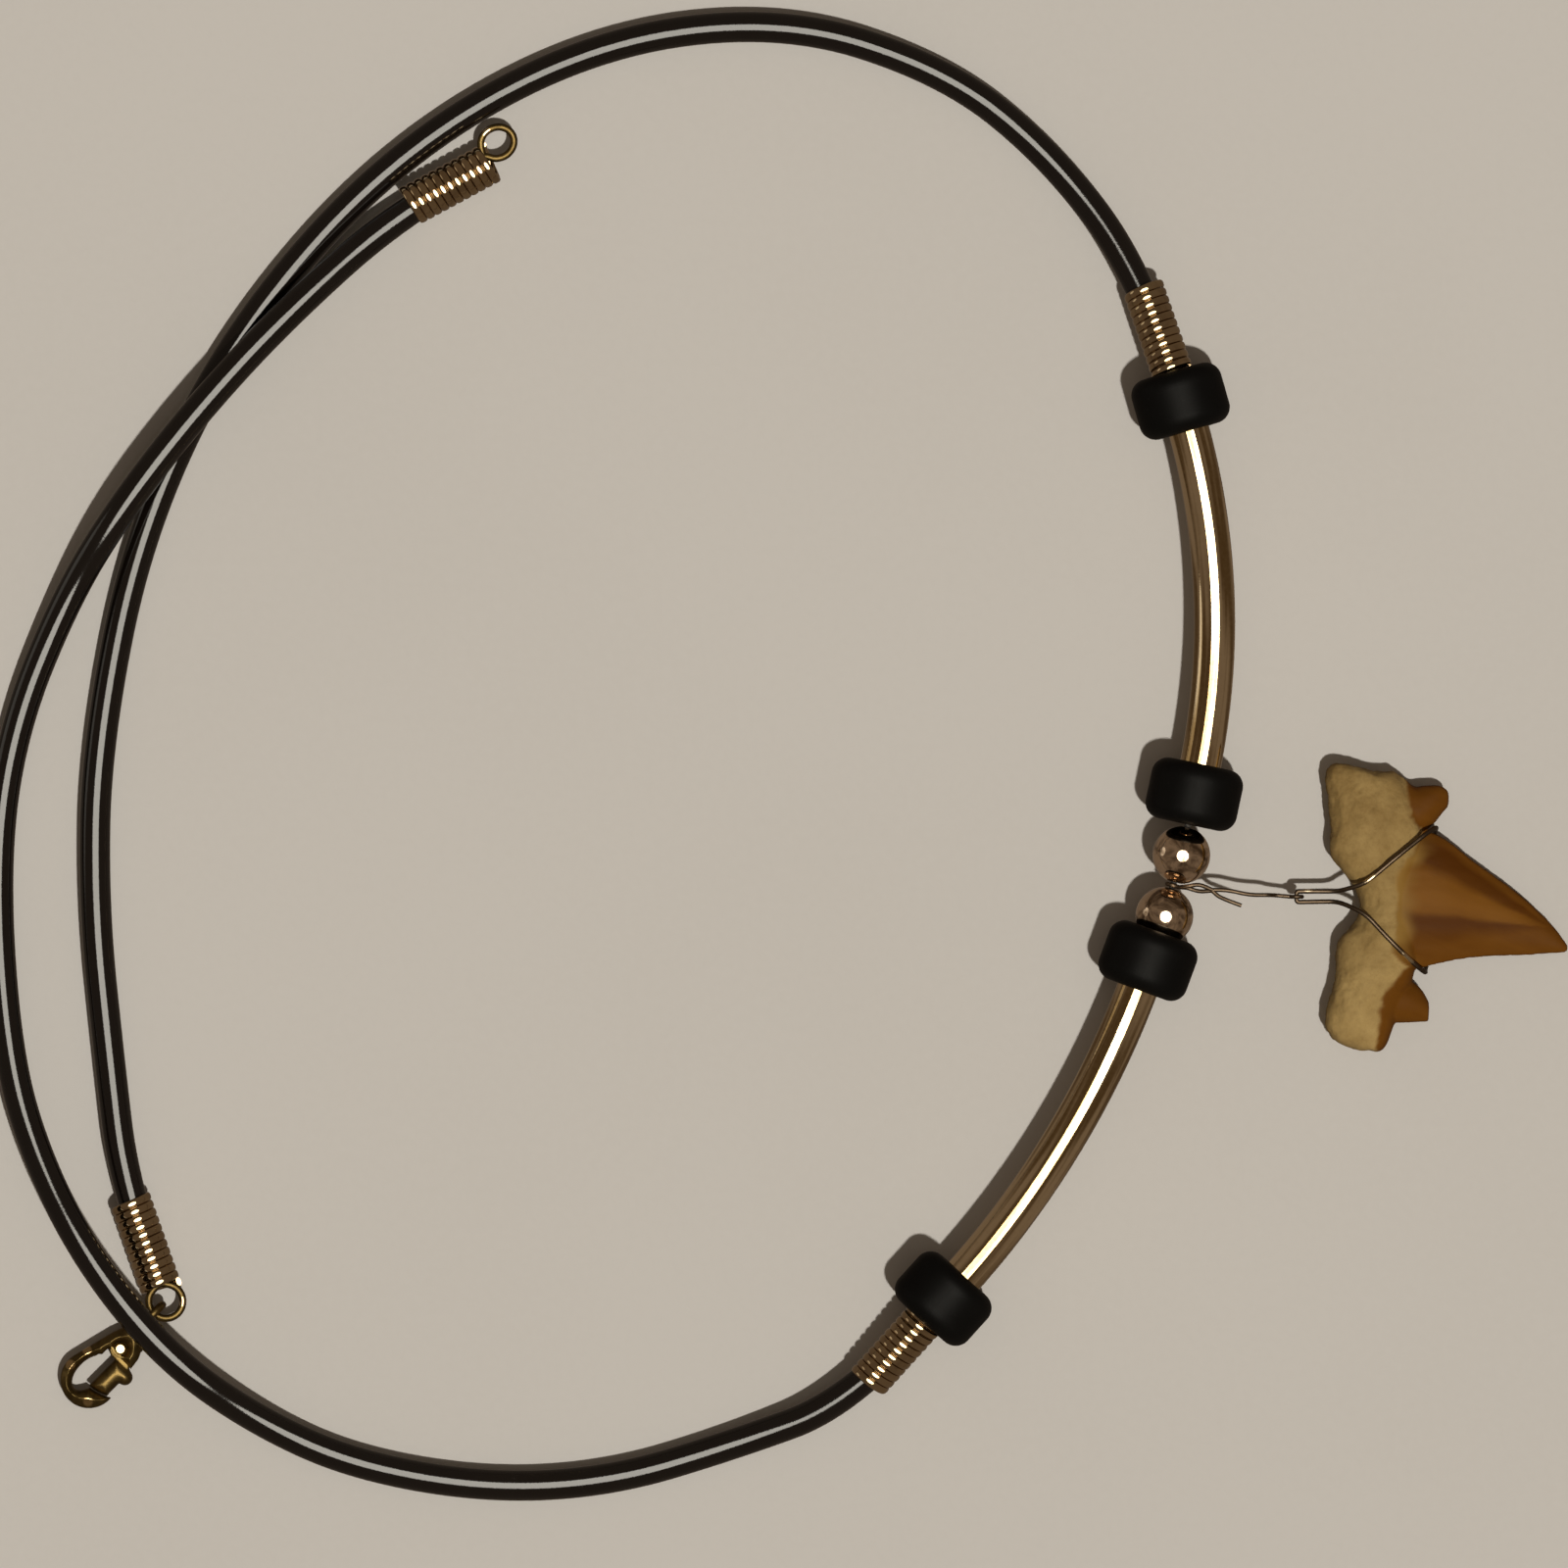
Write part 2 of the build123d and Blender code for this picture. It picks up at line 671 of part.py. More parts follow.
with BuildPart(clasp_plane) as clasp_lever:
    with BuildSketch(clasp_plane):
        with Locations(pivot):
            Circle(boss_radius)
        with BuildLine():
            Polyline(
                (pivot_reach, gate_inner),
                (pivot_reach + gate_arc, gate_inner),
                (pivot_reach + gate_arc, gate_outer),
                (pivot_reach + boss_radius, gate_outer),
                (pivot_reach, pivot_side + boss_radius),
                close=True,
            )
        make_face()
        with Locations(pivot):
            Circle(gate_arc, mode=Mode.INTERSECT)
    extrude(amount=lever_plate / 2, both=True)
    with BuildSketch(clasp_plane) as gate_shape:
        with BuildLine():
            Polyline(
                (cheek_end + gate_clearance, gate_inner),
                (pivot_reach + gate_arc, gate_inner),
                (pivot_reach + gate_arc, gate_outer),
                (cheek_end + gate_clearance, gate_outer),
                close=True,
            )
        make_face()
        with Locations((knob_reach, gate_outer)):
            Circle(knob_radius)
        with Locations(pivot):
            Circle(gate_arc, mode=Mode.INTERSECT)
    extrude(amount=lever_gate / 2, both=True)
    with Locations((*pivot, 0)):
        Cylinder(rivet_diameter / 2 + pin_clearance, clasp_thickness, mode=Mode.SUBTRACT)
write(clasp_lever.part, "clasp_lever")
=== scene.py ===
"""Shark tooth necklace, lying open on a pale table.

Each sub-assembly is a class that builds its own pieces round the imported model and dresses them.
Sizes are written in millimetres and multiplied by MM, because the model is in metres.
"""

import logging
from dataclasses import dataclass
from enum import Enum
from math import atan2, copysign, cos, degrees, pi, radians, sin, tau

import bpy
from mathutils import Matrix, Vector, noise
from mathutils.kdtree import KDTree


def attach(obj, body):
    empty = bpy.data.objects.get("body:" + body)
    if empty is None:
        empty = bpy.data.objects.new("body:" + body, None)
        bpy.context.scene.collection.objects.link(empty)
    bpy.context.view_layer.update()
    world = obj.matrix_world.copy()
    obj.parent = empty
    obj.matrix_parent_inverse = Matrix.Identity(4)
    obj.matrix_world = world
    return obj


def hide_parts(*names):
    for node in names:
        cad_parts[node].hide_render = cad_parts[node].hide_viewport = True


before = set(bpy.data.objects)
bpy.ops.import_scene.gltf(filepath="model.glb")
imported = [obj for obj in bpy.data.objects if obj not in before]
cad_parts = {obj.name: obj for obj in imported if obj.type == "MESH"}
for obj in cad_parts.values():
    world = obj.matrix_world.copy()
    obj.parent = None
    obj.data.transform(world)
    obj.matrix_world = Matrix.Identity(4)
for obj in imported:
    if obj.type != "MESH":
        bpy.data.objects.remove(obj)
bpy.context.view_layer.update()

MM = 0.001
MERGE_DISTANCE = 0.001 * MM
SPLINE_ORDER = 3
SMOOTH_FACTOR = 0.5
NOISE_MIDDLE = 0.5
SEEN_FROM_ABOVE = (1.0, 1.0, 0.0)
CASTABLE = "castable"

# Sockets of the Mix node by number, because several of them have the same name
MIX_SHARE = 0
MIX_FIRST = 6
MIX_SECOND = 7
MIX_RESULT = 2

# Where the two cords leave the front coil ends
UPPER_MOUTH = (31.866, 46.009, 3.275)
LOWER_MOUTH = (5.147, -60.211, 3.275)

log = logging.getLogger("necklace")

Colour = tuple[float, float, float]
Place = tuple[float, float, float]
Spot = tuple[float, float]
Span = tuple[float, float]


class Body(Enum):
    """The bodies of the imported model."""

    NECKLACE = "necklace"
    LEVER = "lever"


class Mark(Enum):
    """Numbers that a mesh carries on its points for its material."""

    DULL = "dull"
    ENAMEL = "enamel"
    # Painted shade on the tooth's steep sides
    EDGE = "edge"
    TONE = "tone"
    GOLD = "gold"


@dataclass(frozen=True)
class Pattern:
    """A noise: features in each millimetre, octaves, share of the finer ones and how far it is folded."""

    scale: float
    detail: float = 2.0
    roughness: float = 0.5
    warp: float = 0.0


class Value:
    """A node's output in an expression, whose operators add Math nodes."""

    def __init__(self, graph: "Graph", socket: bpy.types.NodeSocket | None) -> None:
        """Keep the graph and the output, which a closing node doesn't have."""
        self.graph = graph
        self.socket = socket

    def __add__(self, other: "Value | float") -> "Value":
        """Sum of the two."""
        return self.graph.math("ADD", self, other)

    def __sub__(self, other: "Value | float") -> "Value":
        """This less the other."""
        return self.graph.math("SUBTRACT", self, other)

    def __rsub__(self, other: float) -> "Value":
        """The number less this."""
        return self.graph.math("SUBTRACT", other, self)

    def __mul__(self, other: "Value | float") -> "Value":
        """Product of the two."""
        return self.graph.math("MULTIPLY", self, other)

    __radd__ = __add__
    __rmul__ = __mul__


class Graph:
    """The nodes of one material or world."""

    def __init__(self, tree: bpy.types.NodeTree) -> None:
        """Start from an empty tree."""
        self.tree = tree
        tree.nodes.clear()

    def node(
        self,
        kind: str,
        settings: dict[str, object] | None = None,
        sockets: dict[str | int, object] | None = None,
        output: str | int = 0,
    ) -> Value:
        """Add any node.

        Args:
            kind: The node's type.
            settings: Its properties, set first.
            sockets: Numbers, colours or values for its inputs.
            output: Which output is returned.

        Returns:
            The chosen output.
        """
        made = self.tree.nodes.new(kind)
        for name, setting in (settings or {}).items():
            setattr(made, name, setting)
        for name, given in (sockets or {}).items():
            if isinstance(given, Value):
                self.tree.links.new(given.socket, made.inputs[name])
            else:
                made.inputs[name].default_value = given
        chosen = made.outputs[output] if made.outputs else None
        return Value(self, chosen)

    def math(self, operation: str, first: Value | float, second: Value | float) -> Value:
        """Add a Math node on two numbers."""
        return self.node("ShaderNodeMath", {"operation": operation}, {0: first, 1: second})

    def vector(self, operation: str, first: Value, second: Value | Place, output: str = "Vector") -> Value:
        """Add a Vector Math node on two vectors."""
        return self.node("ShaderNodeVectorMath", {"operation": operation}, {0: first, 1: second}, output)

    def clamp(self, value: Value) -> Value:
        """Hold a value between 0 and 1."""
        return self.node("ShaderNodeClamp", {}, {"Value": value})

    def mix(self, first: Value | Colour, second: Value | Colour, share: Value | float) -> Value:
        """Mix two colours.

        Args:
            first: Colour at share 0.
            second: Colour at share 1.
            share: How much of the second shows.

        Returns:
            The mixed colour.
        """
        settings = {"data_type": "RGBA", "clamp_factor": True}
        sockets = {MIX_SHARE: share, MIX_FIRST: rgba(first), MIX_SECOND: rgba(second)}
        return self.node("ShaderNodeMix", settings, sockets, MIX_RESULT)

    def step(self, value: Value, low: float, high: float) -> Value:
        """Smooth step of a value.

        Args:
            value: The value.
            low: Where the step is 0.
            high: Where it is 1, which may be the lower number.

        Returns:
            The step, 0 to 1.
        """
        settings = {"interpolation_type": "SMOOTHSTEP"}
        sockets = {"Value": value, "From Min": low, "From Max": high}
        return self.node("ShaderNodeMapRange", settings, sockets)

    def mark(self, mark: Mark) -> Value:
        """A number that the mesh carries."""
        return self.node("ShaderNodeAttribute", {"attribute_name": mark.value}, output="Fac")

    def turned(self, stretch: Place = (1.0, 1.0, 1.0), turn_degrees: float = 0.0) -> Value:
        """Object coordinates in millimetres, turned about Z and then stretched.

        Args:
            stretch: How fast the pattern runs along each axis.
            turn_degrees: Turn about Z.

        Returns:
            The coordinates.
        """
        place = self.node("ShaderNodeTexCoord", output="Object")
        sockets = {"Vector": place, "Angle": radians(-turn_degrees)}
        turn = self.node("ShaderNodeVectorRotate", {"rotation_type": "Z_AXIS"}, sockets)
        return self.vector("MULTIPLY", turn, tuple(share / MM for share in stretch))

    def noise(self, at: Value, pattern: Pattern) -> Value:
        """Noise on coordinates in millimetres.

        Args:
            at: Coordinates.
            pattern: What the noise is like.

        Returns:
            The noise, near NOISE_MIDDLE.
        """
        sockets = {
            "Vector": at,
            "Scale": pattern.scale,
            "Detail": pattern.detail,
            "Roughness": pattern.roughness,
            "Distortion": pattern.warp,
        }
        return self.node("ShaderNodeTexNoise", {}, sockets)

    def bump(self, height: Value, depth: float) -> Value:
        """Normal from a height of 0 to 1 and its depth in millimetres."""
        return self.node("ShaderNodeBump", {}, {"Height": height, "Strength": 1.0, "Distance": depth * MM})

    def surface(self, **sockets: object) -> None:
        """Close the tree with a Principled shader.

        Args:
            sockets: What its inputs are given, with an underscore for each space in their names.
        """
        named = {name.replace("_", " "): given for name, given in sockets.items()}
        shader = self.node("ShaderNodeBsdfPrincipled", {}, named)
        self.node("ShaderNodeOutputMaterial", {}, {"Surface": shader})


def rgba(colour: Value | Colour) -> Value | tuple[float, float, float, float]:
    """Colour with its alpha, or a value as it is."""
    return colour if isinstance(colour, Value) else (*colour, 1.0)


@dataclass(frozen=True)
class Finish:
    """A material, and the record's slot for the pieces that wear it."""

    name: str
    slot: str = ""

    def paint(self, graph: Graph) -> None:
        """Add the nodes; each finish has its own."""
        raise NotImplementedError

    def put_on(self, piece: bpy.types.Object) -> None:
        """Give a piece this material alone, made at its first use.

        Args:
            piece: The piece.
        """
        material = bpy.data.materials.get(self.name)
        if material is None:
            material = bpy.data.materials.new(self.name)
            material.use_nodes = True
            self.paint(Graph(material.node_tree))
        piece.data.materials.clear()
        piece.data.materials.append(material)


@dataclass(frozen=True)
class Rubber(Finish):
    """Smooth black cord with half gloss and a few scuffs."""

    black: Colour = (0.004, 0.0025, 0.0018)
    scuff: Colour = (0.022, 0.018, 0.015)
    clouds: Pattern = Pattern(0.25, 3.0)
    cloud_share: float = 0.12
    cloud_roughness: float = 0.04
    scuffs: Pattern = Pattern(1.6, 4.0, 0.7, 0.6)
    scuff_span: Span = (0.66, 0.74)
    scuff_share: float = 0.5
    scuff_roughness: float = 0.12
    skin: Pattern = Pattern(5.0, 3.0, 0.6)
    skin_depth: float = 0.004
    roughness: float = 0.07
    specular: float = 0.58

    def paint(self, graph: Graph) -> None:
        """Black with faint clouding, scuffs and a fine skin.

        Args:
            graph: The material's nodes.
        """
        at = graph.turned()
        clouds = graph.noise(at, self.clouds)
        scuffs = graph.step(graph.noise(at, self.scuffs), *self.scuff_span)
        worn = scuffs * self.scuff_share + clouds * self.cloud_share
        graph.surface(
            Base_Color=graph.mix(self.black, self.scuff, worn),
            Roughness=self.roughness + scuffs * self.scuff_roughness + clouds * self.cloud_roughness,
            Normal=graph.bump(graph.noise(at, self.skin), self.skin_depth),
            Specular_IOR_Level=self.specular,
        )


@dataclass(frozen=True)
class MattePlastic(Finish):
    """Matte black beads."""

    black: Colour = (0.003, 0.0028, 0.0025)
    dust: Colour = (0.018, 0.016, 0.014)
    clouds: Pattern = Pattern(0.5, 4.0, 0.6)
    cloud_share: float = 0.08
    cloud_roughness: float = 0.12
    specks: Pattern = Pattern(4.5)
    speck_span: Span = (0.70, 0.76)
    speck_share: float = 0.35
    grain: Pattern = Pattern(9.0, 2.0, 0.6)
    grain_depth: float = 0.012
    roughness: float = 0.42
    specular: float = 0.06

    def paint(self, graph: Graph) -> None:
        """Black with a little dust and a satin grain.

        Args:
            graph: The material's nodes.
        """
        at = graph.turned()
        clouds = graph.noise(at, self.clouds)
        specks = graph.step(graph.noise(at, self.specks), *self.speck_span)
        dusty = specks * self.speck_share + clouds * self.cloud_share
        graph.surface(
            Base_Color=graph.mix(self.black, self.dust, dusty),
            Roughness=self.roughness + clouds * self.cloud_roughness,
            Normal=graph.bump(graph.noise(at, self.grain), self.grain_depth),
            Specular_IOR_Level=self.specular,
        )


@dataclass(frozen=True, kw_only=True)
class Metal(Finish):
    """Warm plated metal with tarnish and fine wear."""

    bright: Colour
    tarnish: Colour
    roughness: float
    tarnish_share: float = 0.5
    patch: Pattern = Pattern(0.35, 5.0, 0.62, 0.8)
    patch_span: Span = (0.40, 0.66)
    wear: Pattern = Pattern(2.5, 4.0, 0.6, 0.3)
    wear_share: float = 0.35
    wear_depth: float = 0.003
    dark_roughness: float = 0.04

    def patches(self, graph: Graph) -> Value:
        """Where the tarnish lies."""
        return graph.step(graph.noise(graph.turned(), self.patch), *self.patch_span)

    def darkness(self, graph: Graph, wear: Value) -> Value:
        """How dark the metal has gone, from the tarnish and the small dents."""
        return graph.clamp(self.patches(graph) * self.tarnish_share + (wear - NOISE_MIDDLE) * self.wear_share)

    def paint(self, graph: Graph) -> None:
        """Bright metal under patches of tarnish, with small dents.

        Args:
            graph: The material's nodes.
        """
        wear = graph.noise(graph.turned(), self.wear)
        dark = self.darkness(graph, wear)
        graph.surface(
            Base_Color=graph.mix(self.bright, self.tarnish, dark),
            Metallic=1.0,
            Roughness=self.roughness + dark * self.dark_roughness,
            Normal=graph.bump(wear, self.wear_depth),
        )


@dataclass(frozen=True, kw_only=True)
class StreakedMetal(Metal):
    """Polished metal of a bent tube, with streaks of dark and pale metal along the bend: partly tarnish,
    partly painted reflection.
    """

    bend_centre: Spot
    bright: Colour = (0.95, 0.76, 0.50)
    tarnish: Colour = (0.34, 0.22, 0.09)
    tarnish_share: float = 0.95
    roughness: float = 0.035
    # Streaks along the tube: partly tarnish, partly painted reflection
    streak: Pattern = Pattern(1.1, 2.0, 0.5, 0.1)
    streak_span: Span = (0.40, 0.60)
    drift: float = 0.04

    def patches(self, graph: Graph) -> Value:
        """Noise that changes fast across the tube and slowly along it.

        Args:
            graph: The material's nodes.

        Returns:
            The mask, 0 to 1.
        """
        centre = (*self.bend_centre, 0.0)
        out = graph.vector("SUBTRACT", graph.turned(), centre)
        reach = graph.vector("DISTANCE", graph.turned(SEEN_FROM_ABOVE), centre, "Value")
        along = graph.node("ShaderNodeSeparateXYZ", {}, {0: out}, "Y") * self.drift
        height = graph.node("ShaderNodeSeparateXYZ", {}, {0: out}, "Z")
        place = graph.node("ShaderNodeCombineXYZ", {}, {"X": reach, "Y": along, "Z": height})
        return graph.step(graph.noise(place, self.streak), *self.streak_span)


@dataclass(frozen=True, kw_only=True)
class WornMetal(Metal):
    """Metal gone dull where its mark says so, but for a few small spots of bright, smooth metal placed where
    glints fall: painted glints.
    """

    # Painted glints: places where spots of bright, smooth metal are put so that glints fall there
    glint_spots: tuple[Spot, ...]
    dull: Colour = (0.15, 0.102, 0.036)
    dull_shade: Colour = (0.040, 0.024, 0.008)
    dull_share: float = 0.0
    dull_roughness: float = 0.40
    glint_reach: float = 0.55
    glint_core: float = 0.6

    def glint_spots_at(self, graph: Graph) -> Value:
        """Mask of the painted glints: bright spots, each round a place seen from above.

        Args:
            graph: The material's nodes.

        Returns:
            The mask, 0 to 1.
        """
        flat = graph.turned(SEEN_FROM_ABOVE)
        spots: Value | float = 0.0
        for spot in self.glint_spots:
            away = graph.vector("DISTANCE", flat, (*spot, 0.0), "Value")
            spots = spots + graph.step(away, self.glint_reach, self.glint_reach * self.glint_core)
        return graph.clamp(spots)

    def paint(self, graph: Graph) -> None:
        """Bright and tarnished metal, a dull skin over it, and the painted glints where bright, smooth spots
        show through.

        Args:
            graph: The material's nodes.
        """
        wear = graph.noise(graph.turned(), self.wear)
        dark = self.darkness(graph, wear)
        covered = graph.clamp(graph.mark(Mark.DULL) + self.dull_share - self.glint_spots_at(graph))
        clean = graph.mix(self.bright, self.tarnish, dark)
        matte = graph.mix(self.dull, self.dull_shade, dark)
        shine = self.roughness + dark * self.dark_roughness
        graph.surface(
            Base_Color=graph.mix(clean, matte, covered),
            Metallic=1.0,
            Roughness=shine + covered * (self.dull_roughness - self.roughness),
            Normal=graph.bump(wear, self.wear_depth),
        )


@dataclass(frozen=True)
class Enamel(Finish):
    """Fossil tooth: a porous root and a smoother streaked crown, told apart by the enamel mark."""

    root_light: Colour = (0.40, 0.275, 0.105)
    # Painted shade: darker colours put on the tooth's steep sides, which face away from above
    root_dark: Colour = (0.23, 0.145, 0.048)
    root_side_shade: Colour = (0.10, 0.062, 0.026)
    stain: Colour = (0.245, 0.137, 0.032)
    crown_light: Colour = (0.190, 0.075, 0.008)
    crown_dark: Colour = (0.078, 0.024, 0.002)
    crown_side_shade: Colour = (0.045, 0.014, 0.002)
    side_shade_share: float = 0.7
    clouds: Pattern = Pattern(0.22, 4.0, 0.6, 0.4)
    root_clouding: float = 2.2
    crown_clouding: float = 0.25
    pores: Pattern = Pattern(2.2, 4.0, 0.7)
    pore_contrast: float = 0.9
    pore_span: Span = (0.55, 0.74)
    pore_share: float = 0.55
    pore_roughness: float = 0.12
    lean: float = -22.0
    streaks: Pattern = Pattern(1.0, 3.0, 0.5, 0.3)
    streak_stretch: Place = (0.10, 0.75, 0.4)
    streak_contrast: float = 0.35
    fine: Pattern = Pattern(1.0, 3.0, 0.6)
    fine_stretch: Place = (0.5, 3.0, 2.0)
    fine_share: float = 0.15
    relief: float = 0.08
    root_roughness: float = 0.66
    crown_polish: float = 0.16
    specular: float = 0.05

    def paint(self, graph: Graph) -> None:
        """Root and crown mixed at their boundary, over pores and fine streaks.

        Args:
            graph: The material's nodes.
        """
        enamel = graph.mark(Mark.ENAMEL)
        at = graph.turned()
        clouds = graph.noise(at, self.clouds) - NOISE_MIDDLE
        pores = graph.noise(at, self.pores)
        fine = graph.noise(graph.turned(self.fine_stretch, self.lean), self.fine)
        root = self.paint_root(graph, clouds, pores)
        crown = self.paint_crown(graph, clouds)
        smooth = enamel * self.crown_polish
        height = pores * (1.0 - enamel) + fine * enamel * self.fine_share
        graph.surface(
            Base_Color=graph.mix(root, crown, enamel),
            Roughness=self.root_roughness - smooth + (pores - NOISE_MIDDLE) * self.pore_roughness,
            Normal=graph.bump(height, self.relief),
            Specular_IOR_Level=self.specular,
        )

    def paint_root(self, graph: Graph, clouds: Value, pores: Value) -> Value:
        """Colour of the root: clouded, darker in its pores, with painted shade on its steep sides.

        Args:
            graph: The material's nodes.
            clouds: Broad noise about 0.
            pores: Fine noise near NOISE_MIDDLE.

        Returns:
            The colour.
        """
        swing = (pores - NOISE_MIDDLE) * self.pore_contrast
        light = graph.clamp(graph.mark(Mark.TONE) + clouds * self.root_clouding + swing)
        root = graph.mix(self.root_dark, self.root_light, light)
        root = graph.mix(root, self.root_dark, graph.step(pores, *self.pore_span) * self.pore_share)
        return graph.mix(root, self.root_side_shade, graph.mark(Mark.EDGE) * self.side_shade_share)

    def paint_crown(self, graph: Graph, clouds: Value) -> Value:
        """Colour of the crown: streaked bands, golden beside the root, with painted shade on its steep sides.

        Args:
            graph: The material's nodes.
            clouds: Broad noise about 0.

        Returns:
            The colour.
        """
        streaks = graph.noise(graph.turned(self.streak_stretch, self.lean), self.streaks)
        swing = (streaks - NOISE_MIDDLE) * self.streak_contrast
        light = graph.clamp(graph.mark(Mark.TONE) + swing + clouds * self.crown_clouding)
        crown = graph.mix(self.crown_dark, self.crown_light, light)
        crown = graph.mix(crown, self.stain, graph.mark(Mark.GOLD))
        return graph.mix(crown, self.crown_side_shade, graph.mark(Mark.EDGE) * self.side_shade_share)


@dataclass(frozen=True)
class Thread(Finish):
    """Dark twisted thread inside the beads."""

    dark: Colour = (0.03, 0.026, 0.022)
    light: Colour = (0.09, 0.08, 0.068)
    strand: Pattern = Pattern(1.4, 2.0, 0.5, 0.6)
    strand_depth: float = 0.04
    roughness: float = 0.8

    def paint(self, graph: Graph) -> None:
        """Slanting strands.

        Args:
            graph: The material's nodes.
        """
        sockets = {
            "Vector": graph.turned(),
            "Scale": self.strand.scale,
            "Distortion": self.strand.warp,
            "Detail": self.strand.detail,
            "Detail Roughness": self.strand.roughness,
        }
        strands = graph.node("ShaderNodeTexWave", {"bands_direction": "DIAGONAL"}, sockets, "Fac")
        graph.surface(
            Base_Color=graph.mix(self.dark, self.light, strands),
            Roughness=self.roughness,
            Normal=graph.bump(strands, self.strand_depth),
        )


@dataclass(frozen=True)
class TableTop(Finish):
    """Pale warm grey table with a faint mottle."""

    pale: Colour = (0.560, 0.538, 0.505)
    shade: Colour = (0.46, 0.435, 0.40)
    clouds: Pattern = Pattern(0.02, 3.0)
    cloud_span: Span = (0.3, 0.8)
    cloud_share: float = 0.12
    grain: Pattern = Pattern(1.1, 3.0, 0.6)
    grain_share: float = 0.25
    grain_depth: float = 0.01
    roughness: float = 0.75
    specular: float = 0.2

    def paint(self, graph: Graph) -> None:
        """Soft clouds and a fine grain.

        Args:
            graph: The material's nodes.
        """
        at = graph.turned()
        clouds = graph.step(graph.noise(at, self.clouds), *self.cloud_span)
        grain = graph.noise(at, self.grain)
        share = clouds * self.cloud_share + (grain - NOISE_MIDDLE) * self.grain_share
        graph.surface(
            Base_Color=graph.mix(self.pale, self.shade, graph.clamp(share)),
            Roughness=self.roughness,
            Normal=graph.bump(grain, self.grain_depth),
            Specular_IOR_Level=self.specular,
        )


CORD = Rubber("black_cord", "cord")
PONY = MattePlastic("pony_black", "bead_black")
BALL = Metal(
    "polished_ball",
    "bead_metal",
    bright=(0.95, 0.74, 0.54),
    tarnish=(0.16, 0.10, 0.055),
    tarnish_share=0.95,
    patch=Pattern(0.55, 5.0, 0.62, 0.8),
    roughness=0.07,
    wear_depth=0.002,
)
TUBE_UPPER = StreakedMetal("polished_tube_upper", "tube_metal", bend_centre=(-31.767, 13.456))
TUBE_LOWER = StreakedMetal("polished_tube_lower", "tube_metal", bend_centre=(-52.628, 9.879))
COIL = WornMetal(
    "wound_wire",
    "coil_metal",
    bright=(0.56, 0.42, 0.25),
    tarnish=(0.28, 0.19, 0.105),
    roughness=0.06,
    # Painted glints on the two eyes
    glint_spots=((-31.7, 61.0), (-61.1, -52.3)),
)
CLASP = WornMetal(
    "cast_metal",
    "clasp_metal",
    bright=(0.62, 0.45, 0.22),
    tarnish=(0.40, 0.27, 0.11),
    patch=Pattern(0.8, 5.0, 0.62, 0.8),
    wear_depth=0.012,
    roughness=0.07,
    # Painted glints on the claw
    glint_spots=((-71.9, -58.4), (-70.2, -62.0), (-70.3, -57.0)),
)
WIRE = WornMetal(
    "fine_wire",
    "wire_metal",
    bright=(0.75, 0.62, 0.42),
    tarnish=(0.60, 0.48, 0.32),
    roughness=0.10,
    dull=(0.115, 0.083, 0.056),
    dull_shade=(0.055, 0.038, 0.025),
    dull_share=1.0,
    # Painted glints on the wires
    glint_spots=((53.6, -11.1), (57.6, -18.9), (47.9, -11.9)),
    glint_reach=0.8,
)
TOOTH = Enamel("fossil_tooth", "tooth")
THREAD = Thread("dark_thread", "thread")
TABLE = TableTop("table_top")


def select_only(*pieces: bpy.types.Object) -> None:
    """Select these pieces alone and make the first one active.

    Args:
        pieces: The pieces, one at least.
    """
    bpy.ops.object.select_all(action="DESELECT")
    for piece in pieces:
        piece.select_set(True)
    bpy.context.view_layer.objects.active = pieces[0]


def finish_with(piece: bpy.types.Object, kind: str, **settings: object) -> None:
    """Add a modifier and apply it.

    Args:
        piece: The mesh.
        kind: The modifier's type.
        settings: Its properties.
    """
    select_only(piece)
    modifier = piece.modifiers.new(kind.lower(), kind)
    for name, setting in settings.items():
        setattr(modifier, name, setting)
    bpy.ops.object.modifier_apply(modifier=modifier.name)


def settle(piece: bpy.types.Object, where: Matrix | None = None) -> None:
    """Put a piece's place into its mesh.

    Args:
        piece: The piece.
        where: Its place in the model, if it isn't there yet.
    """
    select_only(piece)
    if where is not None:
        piece.matrix_world = where
    bpy.ops.object.transform_apply(location=True, rotation=True, scale=True)


def tidy_mesh(piece: bpy.types.Object, sharp_degrees: float = 40.0) -> None:
    """Merge doubles, turn the faces outwards and shade smoothly up to an angle.

    Args:
        piece: The mesh.
        sharp_degrees: Angle from which an edge stays sharp.
    """
    select_only(piece)
    bpy.ops.object.mode_set(mode="EDIT")
    bpy.ops.mesh.select_all(action="SELECT")
    bpy.ops.mesh.remove_doubles(threshold=MERGE_DISTANCE)
    bpy.ops.mesh.normals_make_consistent(inside=False)
    bpy.ops.object.mode_set(mode="OBJECT")
    bpy.ops.object.shade_smooth_by_angle(angle=radians(sharp_degrees))


def remeshed_node(node: str, name: str, voxel: float) -> bpy.types.Object:
    """Copy a CAD node's mesh into a new piece, merge its loose triangles and remesh it.

    Args:
        node: The node.
        name: The new piece's name.
        voxel: Size of the new mesh's cells in millimetres.

    Returns:
        The piece.
    """
    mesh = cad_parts[node].data.copy()
    mesh.name = name
    piece = bpy.data.objects.new(name, mesh)
    bpy.context.scene.collection.objects.link(piece)
    tidy_mesh(piece)
    finish_with(piece, "REMESH", mode="VOXEL", voxel_size=voxel * MM, adaptivity=0.0)
    return piece


def write_mark(piece: bpy.types.Object, mark: Mark, numbers: list[float]) -> None:
    """Write a mark's number on each point of a mesh."""
    piece.data.attributes.new(mark.value, "FLOAT", "POINT").data.foreach_set("value", numbers)


def make_dull(piece: bpy.types.Object) -> None:
    """Mark a whole mesh as covered by the dull skin."""
    write_mark(piece, Mark.DULL, [1.0] * len(piece.data.vertices))


